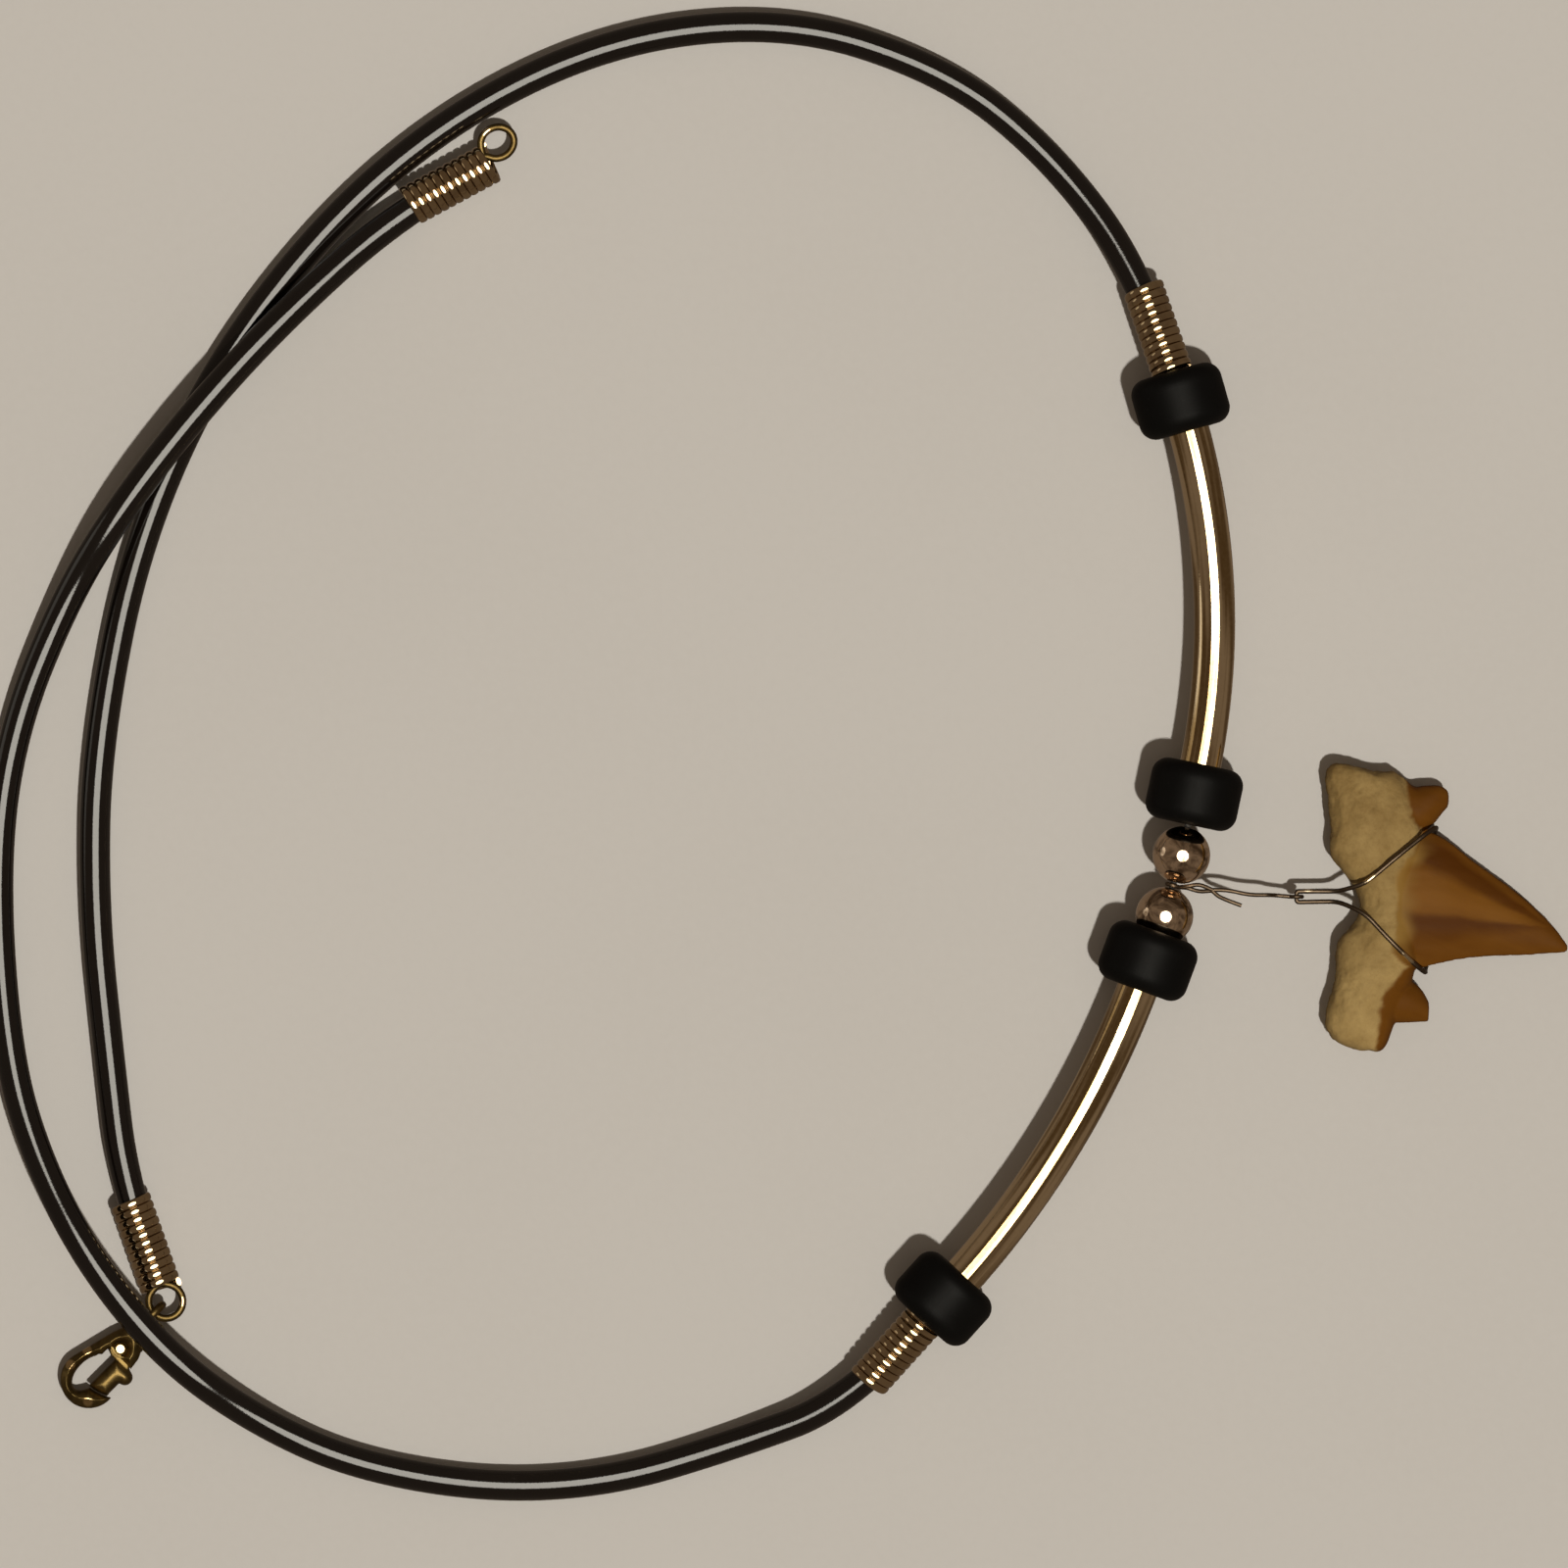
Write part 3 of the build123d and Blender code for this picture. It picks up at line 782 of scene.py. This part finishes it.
def along_wire(
    name: str, places: list[Vector], radius: float, steps: int, roundness: int
) -> bpy.types.Object:
    """Round wire on a smooth spline through hand-chosen control points.

    Args:
        Round wire on a smooth spline through given control points.
        places: Control points in millimetres.
        radius: The wire's radius in millimetres.
        steps: Steps between control points.
        roundness: How finely the wire's section is divided.

    Returns:
        The curve's object.
    """
    data = bpy.data.curves.new(name, "CURVE")
    data.dimensions = "3D"
    data.resolution_u = steps
    data.bevel_depth = radius * MM
    data.bevel_resolution = roundness
    data.use_fill_caps = True
    spline = data.splines.new("NURBS")
    spline.points.add(len(places) - 1)
    for point, place in zip(spline.points, places):
        point.co = (*(place * MM), 1.0)
    spline.order_u = SPLINE_ORDER
    spline.use_endpoint_u = True
    piece = bpy.data.objects.new(name, data)
    bpy.context.scene.collection.objects.link(piece)
    return piece


def held(share: float) -> float:
    """A share held between 0 and 1."""
    return min(1.0, max(0.0, share))


def eased(share: float) -> float:
    """A share held between 0 and 1, with a soft start and end."""
    share = held(share)
    return share * share * (3 - 2 * share)


@dataclass(kw_only=True)
class SubAssembly:
    """What every sub-assembly shares: its body, and how a finished piece is handed over."""

    body: Body = Body.NECKLACE

    def hand_over(self, piece: bpy.types.Object, finish: Finish, node: str) -> None:
        """Dress a piece, let it ride and let it stand for its CAD node.

        Args:
            piece: The finished piece.
            finish: Its material.
            node: The CAD node that it replaces.
        """
        finish.put_on(piece)
        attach(piece, self.body.value)
        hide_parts(node)
        log.info("%s: in %s, stands for %s", piece.name, finish.name, node)


@dataclass(frozen=True)
class LampShade:
    """A soft round light: its direction and half its width in degrees from the table, and its watts."""

    name: str
    towards: Place
    half_angle: float
    power: float


@dataclass
class Studio:
    """Camera, lights, surroundings and table."""

    camera_place: Place = (-2.81, -2.19, 2000.0)
    view_width: float = 152.0
    sensor: float = 36.0
    clip_start: float = 10.0
    light_distance: float = 2000.0
    towards_key: Place = (0.20, -0.30, 1.0)
    key_half_angle: float = 1.1
    key_strength: float = 2.58
    key_colour: Colour = (1.0, 0.965, 0.90)
    shades: tuple[LampShade, ...] = (
        LampShade("glow", (0.10, -0.07, 1.0), 24.0, 50.0),
        LampShade("side_glow", (-1.0, 0.2, 0.12), 14.0, 1.2),
    )
    shade_colour: Colour = (1.0, 0.95, 0.84)
    room: Colour = (0.140, 0.108, 0.080)
    backdrop: Colour = (0.62, 0.58, 0.52)
    table_side: float = 6000.0

    def build(self) -> None:
        """Set up the view."""
        self.add_camera()
        self.add_key()
        for shade in self.shades:
            self.add_shade(shade)
        self.add_surroundings()
        self.add_table()

    def add_camera(self) -> None:
        """Camera straight above, as the photograph was taken."""
        data = bpy.data.cameras.new("camera")
        data.sensor_width = self.sensor
        data.lens = self.sensor * self.camera_place[2] / self.view_width
        data.clip_start = self.clip_start * MM
        camera = bpy.data.objects.new("camera", data)
        camera.location = Vector(self.camera_place) * MM
        bpy.context.scene.collection.objects.link(camera)
        bpy.context.scene.camera = camera

    def add_key(self) -> None:
        """Far lamp that casts the crisp shadows."""
        data = bpy.data.lights.new("key", "SUN")
        data.energy = self.key_strength
        data.angle = radians(2 * self.key_half_angle)
        data.color = self.key_colour
        key = self.aim("key", data, self.towards_key)
        key.visible_glossy = False

    def add_shade(self, shade: LampShade) -> None:
        """Hang a lamp shade that only shows as gloss on rubber and metal.

        Args:
            shade: The lamp shade.
        """
        data = bpy.data.lights.new(shade.name, "AREA")
        data.shape = "DISK"
        data.size = 2 * self.light_distance * MM * sin(radians(shade.half_angle))
        data.energy = shade.power
        data.color = self.shade_colour
        glow = self.aim(shade.name, data, shade.towards)
        glow.visible_diffuse = False
        glow.visible_camera = False

    def aim(self, name: str, data: bpy.types.Light, towards: Place) -> bpy.types.Object:
        """Place a light and point it at the table.

        Args:
            name: The light's name.
            data: The light.
            towards: Direction from the table to the light.

        Returns:
            Its object.
        """
        direction = Vector(towards).normalized()
        light = bpy.data.objects.new(name, data)
        light.location = direction * self.light_distance * MM
        light.rotation_euler = direction.to_track_quat("Z", "Y").to_euler()
        bpy.context.scene.collection.objects.link(light)
        return light

    def add_surroundings(self) -> None:
        """Dim warm room, for dark shadows and dark reflections, which the camera sees as a pale backdrop."""
        world = bpy.data.worlds.new("room")
        world.use_nodes = True
        bpy.context.scene.world = world
        graph = Graph(world.node_tree)
        seen = graph.node("ShaderNodeLightPath", output="Is Camera Ray")
        sockets = {"Color": graph.mix(self.room, self.backdrop, seen), "Strength": 1.0}
        background = graph.node("ShaderNodeBackground", {}, sockets)
        graph.node("ShaderNodeOutputWorld", {}, {"Surface": background})

    def add_table(self) -> None:
        """Plain pale table under the necklace."""
        bpy.ops.object.select_all(action="DESELECT")
        bpy.ops.mesh.primitive_plane_add(size=self.table_side * MM, location=(0, 0, 0))
        table = bpy.context.object
        table.name = "table"
        table.visible_glossy = False
        TABLE.put_on(table)


@dataclass(kw_only=True)
class BlackCord(SubAssembly):
    """One black cord, laid on the table from a front coil end to the coil end behind it."""

    name: str
    node: str
    length: float
    exit: Place
    points: tuple[Place, ...]
    radius: float = 1.5
    squeeze: float = 0.9
    steps: int = 12
    roundness: int = 8

    def build(self) -> None:
        """Lay the cord on one smooth spline, squeezed a little in the coils."""
        places = [Vector(point) for point in self.points]
        cord = along_wire(self.name, places, self.radius, self.steps, self.roundness)
        spline = cord.data.splines[0]
        spline.points[0].radius = self.squeeze
        spline.points[-1].radius = self.squeeze
        self.hand_over(cord, CORD, self.node)


UPPER_CORD = BlackCord(
    name="black_cord_upper",
    node="cord_upper",
    length=208.0,
    exit=UPPER_MOUTH,
    points=(
        (34.058, 39.642, 4.222),
        (31.1, 48.1, 2.95),
        (22.9, 58.9, 1.5),
        (12.9, 66.9, 1.5),
        (-2.9, 72.0, 1.5),
        (-21.9, 69.5, 1.5),
        (-40.7, 58.8, 1.5),
        (-56.0, 41.5, 1.5),
        (-65.2, 22.8, 1.5),
        (-69.4, 1.8, 1.5),
        (-69.7, -14.1, 1.5),
        (-68.1, -29.5, 1.5),
        (-66.732, -40.791, 2.05),
        (-63.941, -48.714, 2.05),
    ),
)
LOWER_CORD = BlackCord(
    name="black_cord_lower",
    node="cord_lower",
    length=217.0,
    exit=LOWER_MOUTH,
    points=(
        (9.653, -55.207, 4.222),
        (3.4, -62.1, 2.9),
        (-7.8, -66.2, 1.5),
        (-19.4, -69.7, 1.5),
        (-31.4, -70.4, 1.5),
        (-44.2, -68.2, 1.5),
        (-53.4, -64.1, 2.4),
        (-62.1, -58.0, 5.5),
        (-69.6, -49.0, 5.5),
        (-75.0, -38.8, 3.9),
        (-78.1, -28.1, 2.8),
        (-79.3, -9.9, 1.6),
        (-77.5, 3.2, 1.5),
        (-72.5, 15.5, 2.2),
        (-67.3, 24.0, 4.7),
        (-60.0, 33.5, 4.9),
        (-51.5, 42.8, 4.6),
        (-40.209, 53.141, 2.05),
        (-32.813, 57.124, 2.05),
    ),
)


@dataclass(kw_only=True)
class CoiledEnd(SubAssembly):
    """A cord end of one wound wire: close turns, then an eye that stands out of the last turn."""

    name: str
    node: str
    mouth: Place
    heading: float
    slope: float = 0.0
    outer_radius: float = 2.05
    wire_across: float = 0.46
    wire_along: float = 0.79
    squareness: float = 0.86
    section_points: int = 16
    pitch: float = 0.8
    turns: int = 11
    steps: int = 36
    eye_wire: float = 0.36
    eye_radius: float = 1.64
    eye_standoff: float = 0.15
    eye_shift: float = 0.0
    eye_squeeze: float = 1.0
    eye_angles: range = range(-70, 251, 40)
    eye_steps: int = 10
    eye_roundness: int = 4
    control_share: float = 1.07

    @property
    def mean_radius(self) -> float:
        """Radius of the turns' centre line."""
        return self.outer_radius - self.wire_across / 2

    def build(self) -> None:
        """Wind the turns, add the eye and lay the coil in its place."""
        turns = self.wind()
        eye = self.bend_eye()
        select_only(turns, eye)
        bpy.ops.object.join()
        tidy_mesh(turns)
        settle(turns, self.lay())
        self.hand_over(turns, COIL, self.node)

    def wind(self) -> bpy.types.Object:
        """Screw an oval section of wire up the coil's axis, which is Z.

        Returns:
            The turns, closed at both ends of the wire.
        """
        half = self.wire_along / 2
        bpy.ops.object.select_all(action="DESELECT")
        bpy.ops.mesh.primitive_circle_add(
            vertices=self.section_points,
            radius=half * MM,
            location=(self.mean_radius * MM, 0, half * MM),
            rotation=(pi / 2, 0, 0),
        )
        turns = bpy.context.object
        turns.name = self.name
        turns.data.name = self.name
        settle(turns)
        for vertex in turns.data.vertices:
            self.square_off(vertex)
        finish_with(
            turns,
            "SCREW",
            axis="Z",
            angle=tau,
            screw_offset=self.pitch * MM,
            iterations=self.turns,
            steps=self.steps,
            render_steps=self.steps,
            use_merge_vertices=False,
        )
        select_only(turns)
        bpy.ops.object.mode_set(mode="EDIT")
        bpy.ops.mesh.select_all(action="SELECT")
        bpy.ops.mesh.fill_holes(sides=0)
        bpy.ops.object.mode_set(mode="OBJECT")
        return turns

    def square_off(self, vertex: bpy.types.MeshVertex) -> None:
        """Move one point of the round section onto a squarer oval.

        Args:
            vertex: A point of the section.
        """
        half = self.wire_along / 2
        turn = atan2(vertex.co.z / MM - half, vertex.co.x / MM - self.mean_radius)
        across = copysign(abs(cos(turn)) ** self.squareness, cos(turn)) * self.wire_across / 2
        along = copysign(abs(sin(turn)) ** self.squareness, sin(turn)) * half
        vertex.co = Vector((self.mean_radius + across, 0.0, half + along)) * MM

    def bend_eye(self) -> bpy.types.Object:
        """Bend the wire's end across the coil and round into an open eye.

        Returns:
            The eye as a mesh.
        """
        top = self.turns * self.pitch
        centre = top + self.eye_radius + self.eye_standoff
        reach = self.eye_radius * self.control_share
        bar = top - self.eye_wire
        places = [Vector((-self.mean_radius, 0.0, bar)), Vector((-self.mean_radius / 2, 0.0, bar))]
        for angle in map(radians, self.eye_angles):
            side = self.eye_shift + cos(angle) * reach * self.eye_squeeze
            places.append(Vector((side, 0.0, centre + sin(angle) * reach)))
        places.append(Vector((self.mean_radius / 2, 0.0, bar)))
        eye = along_wire(self.name + "_eye", places, self.eye_wire, self.eye_steps, self.eye_roundness)
        select_only(eye)
        bpy.ops.object.convert(target="MESH")
        tidy_mesh(eye)
        make_dull(eye)
        return eye

    def lay(self) -> Matrix:
        """Where the coil lies: X to its side, Y up and Z along its axis.

        Returns:
            The matrix from the coil's own axes to the model's.
        """
        flat = cos(radians(self.slope))
        heading = radians(self.heading)
        axis = Vector((flat * cos(heading), flat * sin(heading), sin(radians(self.slope))))
        side = Vector((-sin(heading), cos(heading), 0.0))
        turn = Matrix((side, axis.cross(side), axis)).transposed()
        return Matrix.Translation(Vector(self.mouth) * MM) @ turn.to_4x4()


COILS = (
    CoiledEnd(
        name="front_coil_upper",
        node="front_coil_end_upper",
        mouth=UPPER_MOUTH,
        heading=289.0,
        slope=8.0,
    ),
    CoiledEnd(
        name="front_coil_lower",
        node="front_coil_end_lower",
        mouth=LOWER_MOUTH,
        heading=48.0,
        slope=8.0,
    ),
    CoiledEnd(
        name="ring_coil",
        node="ring_coil_end",
        mouth=(-39.24, 53.66, 2.05),
        heading=28.3,
        eye_shift=1.4,
        eye_squeeze=0.9,
    ),
    CoiledEnd(name="clasp_coil", node="clasp_coil_end", mouth=(-66.2, -42.3, 2.05), heading=289.4),
)


@dataclass(frozen=True)
class BoundaryPoint:
    """Where root meets crown: shares of the tooth's width and height."""

    across: float
    out: float


@dataclass(frozen=True)
class Band:
    """How light the crown is at an angle in degrees of the fan that its bands make."""

    angle: float
    tone: float


@dataclass(frozen=True)
class Nudge:
    """A smooth push of the tooth's surface, in millimetres."""

    place: Place
    move: Place
    reach: float


@dataclass(frozen=True)
class Relief:
    """A fractal noise on places in millimetres: scale, smoothness, step between octaves and their number."""

    scale: float
    smoothness: float
    step: float
    octaves: int

    def at(self, place: Vector) -> float:
        """The noise, about 0."""
        return noise.fractal(place * self.scale, self.smoothness, self.step, self.octaves)


@dataclass(kw_only=True)
class SharkTooth(SubAssembly):
    """The tooth: root and crown, remeshed from its solid and given relief."""

    name: str = "fossil_shark_tooth"
    node: str = "shark_tooth"
    centre: Spot = (49.7, -14.25)
    width: float = 27.7
    height: float = 23.4
    voxel: float = 0.19
    softness: int = 3
    sharp: float = 60.0
    enamel_step: float = 0.022
    enamel_rise: float = 0.09
    ragged: Relief = Relief(0.9, 1.0, 2.0, 3)
    ragged_reach: float = 0.012
    pits: Relief = Relief(0.8, 0.9, 2.1, 4)
    pit_share: float = 0.6
    lump_scale: float = 0.35
    lump_share: float = 0.7
    root_relief: float = 0.24
    streak_stretch: Place = (0.12, 1.1, 0.6)
    crown_relief: float = 0.045
    lowest: float = 0.02
    # How fast the painted shade grows as the surface turns from facing up
    side_shade_reach: float = 1.35
    fan_centre: Spot = (71.5, -16.2)
    fan_reach: float = 3.5
    fan_scale: float = 0.4
    fan_waver: float = 2.0
    tip_tone: float = 0.35
    bands: tuple[Band, ...] = (
        Band(-9.0, 0.40),
        Band(-4.0, 0.25),
        Band(4.0, 0.0),
        Band(6.0, 0.10),
        Band(9.0, 0.75),
        Band(16.0, 0.85),
        Band(23.0, 0.75),
        Band(28.0, 0.05),
        Band(35.0, 0.0),
        Band(39.0, 0.40),
        Band(50.0, 0.30),
    )
    gold_reach: float = 0.10
    gold_span: Span = (-0.21, 0.27)
    gold_scale: float = 0.5
    gold_waver: float = 0.4
    root_tones: Span = (0.75, 0.20)
    boundary: tuple[BoundaryPoint, ...] = (
        BoundaryPoint(0.6, 0.329),
        BoundaryPoint(0.4355, 0.33),
        BoundaryPoint(0.3155, 0.342),
        BoundaryPoint(0.271, 0.395),
        BoundaryPoint(0.189, 0.354),
        BoundaryPoint(0.134, 0.289),
        BoundaryPoint(-0.079, 0.289),
        BoundaryPoint(-0.154, 0.265),
        BoundaryPoint(-0.202, 0.33),
        BoundaryPoint(-0.264, 0.265),
        BoundaryPoint(-0.319, 0.228),
        BoundaryPoint(-0.3875, 0.216),
        BoundaryPoint(-0.456, 0.208),
        BoundaryPoint(-0.6, 0.205),
    )
    nudges: tuple[Nudge, ...] = (
        Nudge((51.6, -9.2, 2.6), (-0.9, 0.0, 0.0), 4.0),
        Nudge((56.2, -2.2, 2.6), (0.1, 1.0, 0.0), 2.6),
        Nudge((60.7, -3.6, 2.6), (0.15, 0.75, 0.0), 2.4),
        Nudge((58.0, -2.2, 2.6), (0.0, -0.35, 0.0), 1.2),
        Nudge((50.3, -1.0, 2.6), (-0.4, 0.3, 0.0), 3.2),
        Nudge((51.8, -17.4, 2.6), (-0.75, 0.0, 0.0), 3.0),
        Nudge((51.0, -26.4, 2.6), (-0.6, -0.35, 0.0), 3.6),
    )

    def build(self) -> None:
        """Remesh the solid and carve it, with the marks for its material."""
        tooth = remeshed_node(self.node, self.name, self.voxel)
        finish_with(tooth, "SMOOTH", factor=SMOOTH_FACTOR, iterations=self.softness)
        self.carve(tooth)
        tidy_mesh(tooth, self.sharp)
        self.hand_over(tooth, TOOTH, self.node)

    def carve(self, tooth: bpy.types.Object) -> None:
        """Push the outline, carve the relief and write the four marks.

        Args:
            tooth: The remeshed tooth.
        """
        marks: dict[Mark, list[float]] = {Mark.ENAMEL: [], Mark.EDGE: [], Mark.TONE: [], Mark.GOLD: []}
        vertices = tooth.data.vertices
        normals = [vertex.normal.copy() for vertex in vertices]
        for vertex, normal in zip(vertices, normals):
            place = vertex.co / MM
            cover = self.enamel_at(place)
            marks[Mark.ENAMEL].append(cover)
            # Painted shade: the more a point faces sideways, the darker it is painted
            marks[Mark.EDGE].append(1.0 - min(1.0, abs(normal.z) * self.side_shade_reach))
            marks[Mark.TONE].append(self.tone_at(place, cover))
            marks[Mark.GOLD].append(self.gold_at(place))
            vertex.co += (normal * self.rise_at(place, cover) + self.push_at(place)) * MM
            vertex.co.z = max(vertex.co.z, self.lowest * MM)
        for mark, numbers in marks.items():
            write_mark(tooth, mark, numbers)

    def shares_at(self, place: Vector) -> Spot:
        """A place in millimetres as shares of the tooth's width and height from its centre."""
        return (place.y - self.centre[1]) / self.width, (place.x - self.centre[0]) / self.height

    def boundary_at(self, across: float) -> float:
        """Where the enamel begins.

        Args:
            across: Share of the tooth's width.

        Returns:
            Share of the tooth's height.
        """
        for upper, lower in zip(self.boundary, self.boundary[1:]):
            if across >= lower.across:
                share = (across - lower.across) / (upper.across - lower.across)
                return lower.out + (upper.out - lower.out) * share
        return self.boundary[-1].out

    def enamel_at(self, place: Vector) -> float:
        """How much enamel covers a place.

        Args:
            place: The place in millimetres.

        Returns:
            The cover, 0 to 1.
        """
        across, out = self.shares_at(place)
        inside = out - self.boundary_at(across) + self.ragged.at(place) * self.ragged_reach
        return eased(inside / self.enamel_step + 0.5)

    def rise_at(self, place: Vector, cover: float) -> float:
        """How far the surface stands out: pits and lumps on the root, streaks on the crown.

        Args:
            place: The place in millimetres.
            cover: How much enamel covers it.

        Returns:
            The height in millimetres.
        """
        lumps = noise.noise(place * self.lump_scale)
        root = (self.pits.at(place) * self.pit_share + lumps * self.lump_share) * self.root_relief
        streak = noise.noise(place * Vector(self.streak_stretch))
        return (1 - cover) * root + cover * (self.enamel_rise + streak * self.crown_relief)

    def tone_at(self, place: Vector, cover: float) -> float:
        """How light the tooth is: bands on the crown, a slow change along the root.

        Args:
            place: The place in millimetres.
            cover: How much enamel covers it.

        Returns:
            The tone, 0 dark and 1 light.
        """
        from_centre = Vector((self.fan_centre[0] - place.x, place.y - self.fan_centre[1]))
        waver = noise.noise(place * self.fan_scale) * self.fan_waver
        crown = self.band_tone(degrees(atan2(from_centre.y, from_centre.x)) + waver)
        crown += (self.tip_tone - crown) * held(1.0 - from_centre.length / self.fan_reach)
        low, high = self.root_tones
        root = low + (high - low) * (self.shares_at(place)[0] + 0.5)
        return root + (crown - root) * cover

    def band_tone(self, angle: float) -> float:
        """Tone of the crown's bands.

        Args:
            angle: Angle in degrees of the bands' fan.

        Returns:
            The tone, 0 dark and 1 light.
        """
        tone = self.bands[0].tone
        for lower, upper in zip(self.bands, self.bands[1:]):
            if angle > lower.angle:
                share = min(1.0, (angle - lower.angle) / (upper.angle - lower.angle))
                tone = lower.tone + (upper.tone - lower.tone) * share
        return tone

    def gold_at(self, place: Vector) -> float:
        """How golden the crown is, fading away from its boundary.

        Args:
            place: The place in millimetres.

        Returns:
            The share of gold, 0 to 1.
        """
        across, out = self.shares_at(place)
        waver = noise.noise(place * self.gold_scale) * self.gold_waver
        near = 1.0 - (out - self.boundary_at(across)) / self.gold_reach
        low, high = self.gold_span
        inside = held(min(across - low, high - across) / self.gold_reach)
        return inside * eased(near + waver)

    def push_at(self, place: Vector) -> Vector:
        """Sum of the nudges at a place.

        Args:
            place: The place in millimetres.

        Returns:
            The move in millimetres.
        """
        total = Vector((0.0, 0.0, 0.0))
        for nudge in self.nudges:
            away = (place - Vector(nudge.place)).length
            total += Vector(nudge.move) * eased(1 - away / nudge.reach)
        return total


@dataclass(kw_only=True)
class CastPiece(SubAssembly):
    """A piece of the clasp with the soft edges of a casting, from its solid."""

    name: str
    node: str
    voxel: float = 0.09
    softness: int = 14
    sharp: float = 80.0
    regain: float = 0.03
    middle: float = 1.45
    half_thickness: float = 1.3
    wall_from: float = 0.7
    wall_tilt: float = 0.4
    round_reach: float = 1.5
    kept_place: Spot = (-64.05, -53.66)
    kept_reach: float = 2.3

    def build(self) -> None:
        """Remesh the solid finely, round its walls over and melt what edges are left."""
        casting = remeshed_node(self.node, self.name, self.voxel)
        self.mark_castable(casting)
        self.round_over(casting)
        finish_with(casting, "SMOOTH", factor=SMOOTH_FACTOR, iterations=self.softness, vertex_group=CASTABLE)
        finish_with(casting, "DISPLACE", strength=self.regain * MM, mid_level=0.0, vertex_group=CASTABLE)
        casting.vertex_groups.clear()
        tidy_mesh(casting, self.sharp)
        make_dull(casting)
        self.hand_over(casting, CLASP, self.node)

    def castable_share(self, place: Vector) -> float:
        """How far a place in metres may be rounded: none at the clasp's thin eye."""
        return held((place.xy / MM - Vector(self.kept_place)).length - self.kept_reach)

    def mark_castable(self, casting: bpy.types.Object) -> None:
        """Put everything but the clasp's thin eye in the group that is softened.

        Args:
            casting: The remeshed solid.
        """
        castable = casting.vertex_groups.new(name=CASTABLE)
        for vertex in casting.data.vertices:
            castable.add([vertex.index], self.castable_share(vertex.co), "REPLACE")

    def is_wall(self, vertex: bpy.types.MeshVertex) -> bool:
        """Whether a point is on an upright wall, away from the middle of its height."""
        upright = abs(vertex.normal.z) < self.wall_tilt
        return upright and abs(vertex.co.z / MM - self.middle) > self.wall_from

    def round_over(self, casting: bpy.types.Object) -> None:
        """Pull every point that stands outside an oval section onto it.

        Args:
            casting: The remeshed solid, still with flat faces and straight walls.
        """
        vertices = casting.data.vertices
        walls = [vertex for vertex in vertices if self.is_wall(vertex)]
        outline = KDTree(len(walls))
        inwards = []
        for index, wall in enumerate(walls):
            outline.insert((wall.co.x, wall.co.y, 0.0), index)
            inwards.append(-wall.normal.xy.normalized())
        outline.balance()
        pulls = [self.pull_at(vertex.co, outline, inwards) for vertex in vertices]
        for vertex, pull in zip(vertices, pulls):
            vertex.co += pull

    def pull_at(self, place: Vector, outline: KDTree, inwards: list[Vector]) -> Vector:
        """How far one point moves onto the oval section.

        Args:
            place: The point in metres.
            outline: The walls' points, laid flat.
            inwards: Each wall point's direction into the piece.

        Returns:
            The move in metres.
        """
        _, index, distance = outline.find((place.x, place.y, 0.0))
        depth = min(1.0, distance / MM / self.round_reach) - 1.0
        rise = (place.z / MM - self.middle) / self.half_thickness
        outside = depth * depth + rise * rise
        if outside <= 1.0:
            return Vector((0.0, 0.0, 0.0))
        shrink = (outside**-0.5 - 1.0) * self.castable_share(place)
        across = inwards[index] * depth * shrink * self.round_reach
        return Vector((across.x, across.y, rise * shrink * self.half_thickness)) * MM


CASTINGS = (
    CastPiece(name="cast_claw", node="clasp_body"),
    CastPiece(
        body=Body.LEVER,
        name="cast_lever",
        node="clasp_lever",
        voxel=0.08,
        half_thickness=1.0,
        wall_from=0.55,
        round_reach=1.1,
    ),
)


@dataclass(kw_only=True)
class KeptNodes(SubAssembly):
    """Solids whose shapes are right as they are."""

    finishes: tuple[tuple[Finish, tuple[str, ...]], ...] = (
        (PONY, ("pony_bead_top", "pony_bead_upper", "pony_bead_lower", "pony_bead_bottom")),
        (BALL, ("round_bead_upper", "round_bead_lower")),
        (TUBE_UPPER, ("tube_upper",)),
        (TUBE_LOWER, ("tube_lower",)),
        (CLASP, ("clasp_rivet",)),
        (WIRE, ("tooth_wire", "bail_wire")),
        (THREAD, ("stringing_thread",)),
    )

    def build(self) -> None:
        """Give each kept node its finish."""
        for finish, nodes in self.finishes:
            for node in nodes:
                finish.put_on(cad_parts[node])
                log.info("%s: kept, in %s", node, finish.name)


def main() -> None:
    """Build the view and then every sub-assembly."""
    logging.basicConfig(level=logging.INFO, format="%(name)s %(message)s")
    bpy.context.scene.view_settings.view_transform = "Standard"
    Studio().build()
    for part in (UPPER_CORD, LOWER_CORD, *COILS, SharkTooth(), *CASTINGS, KeptNodes()):
        part.build()


if __name__ == "__main__":
    main()
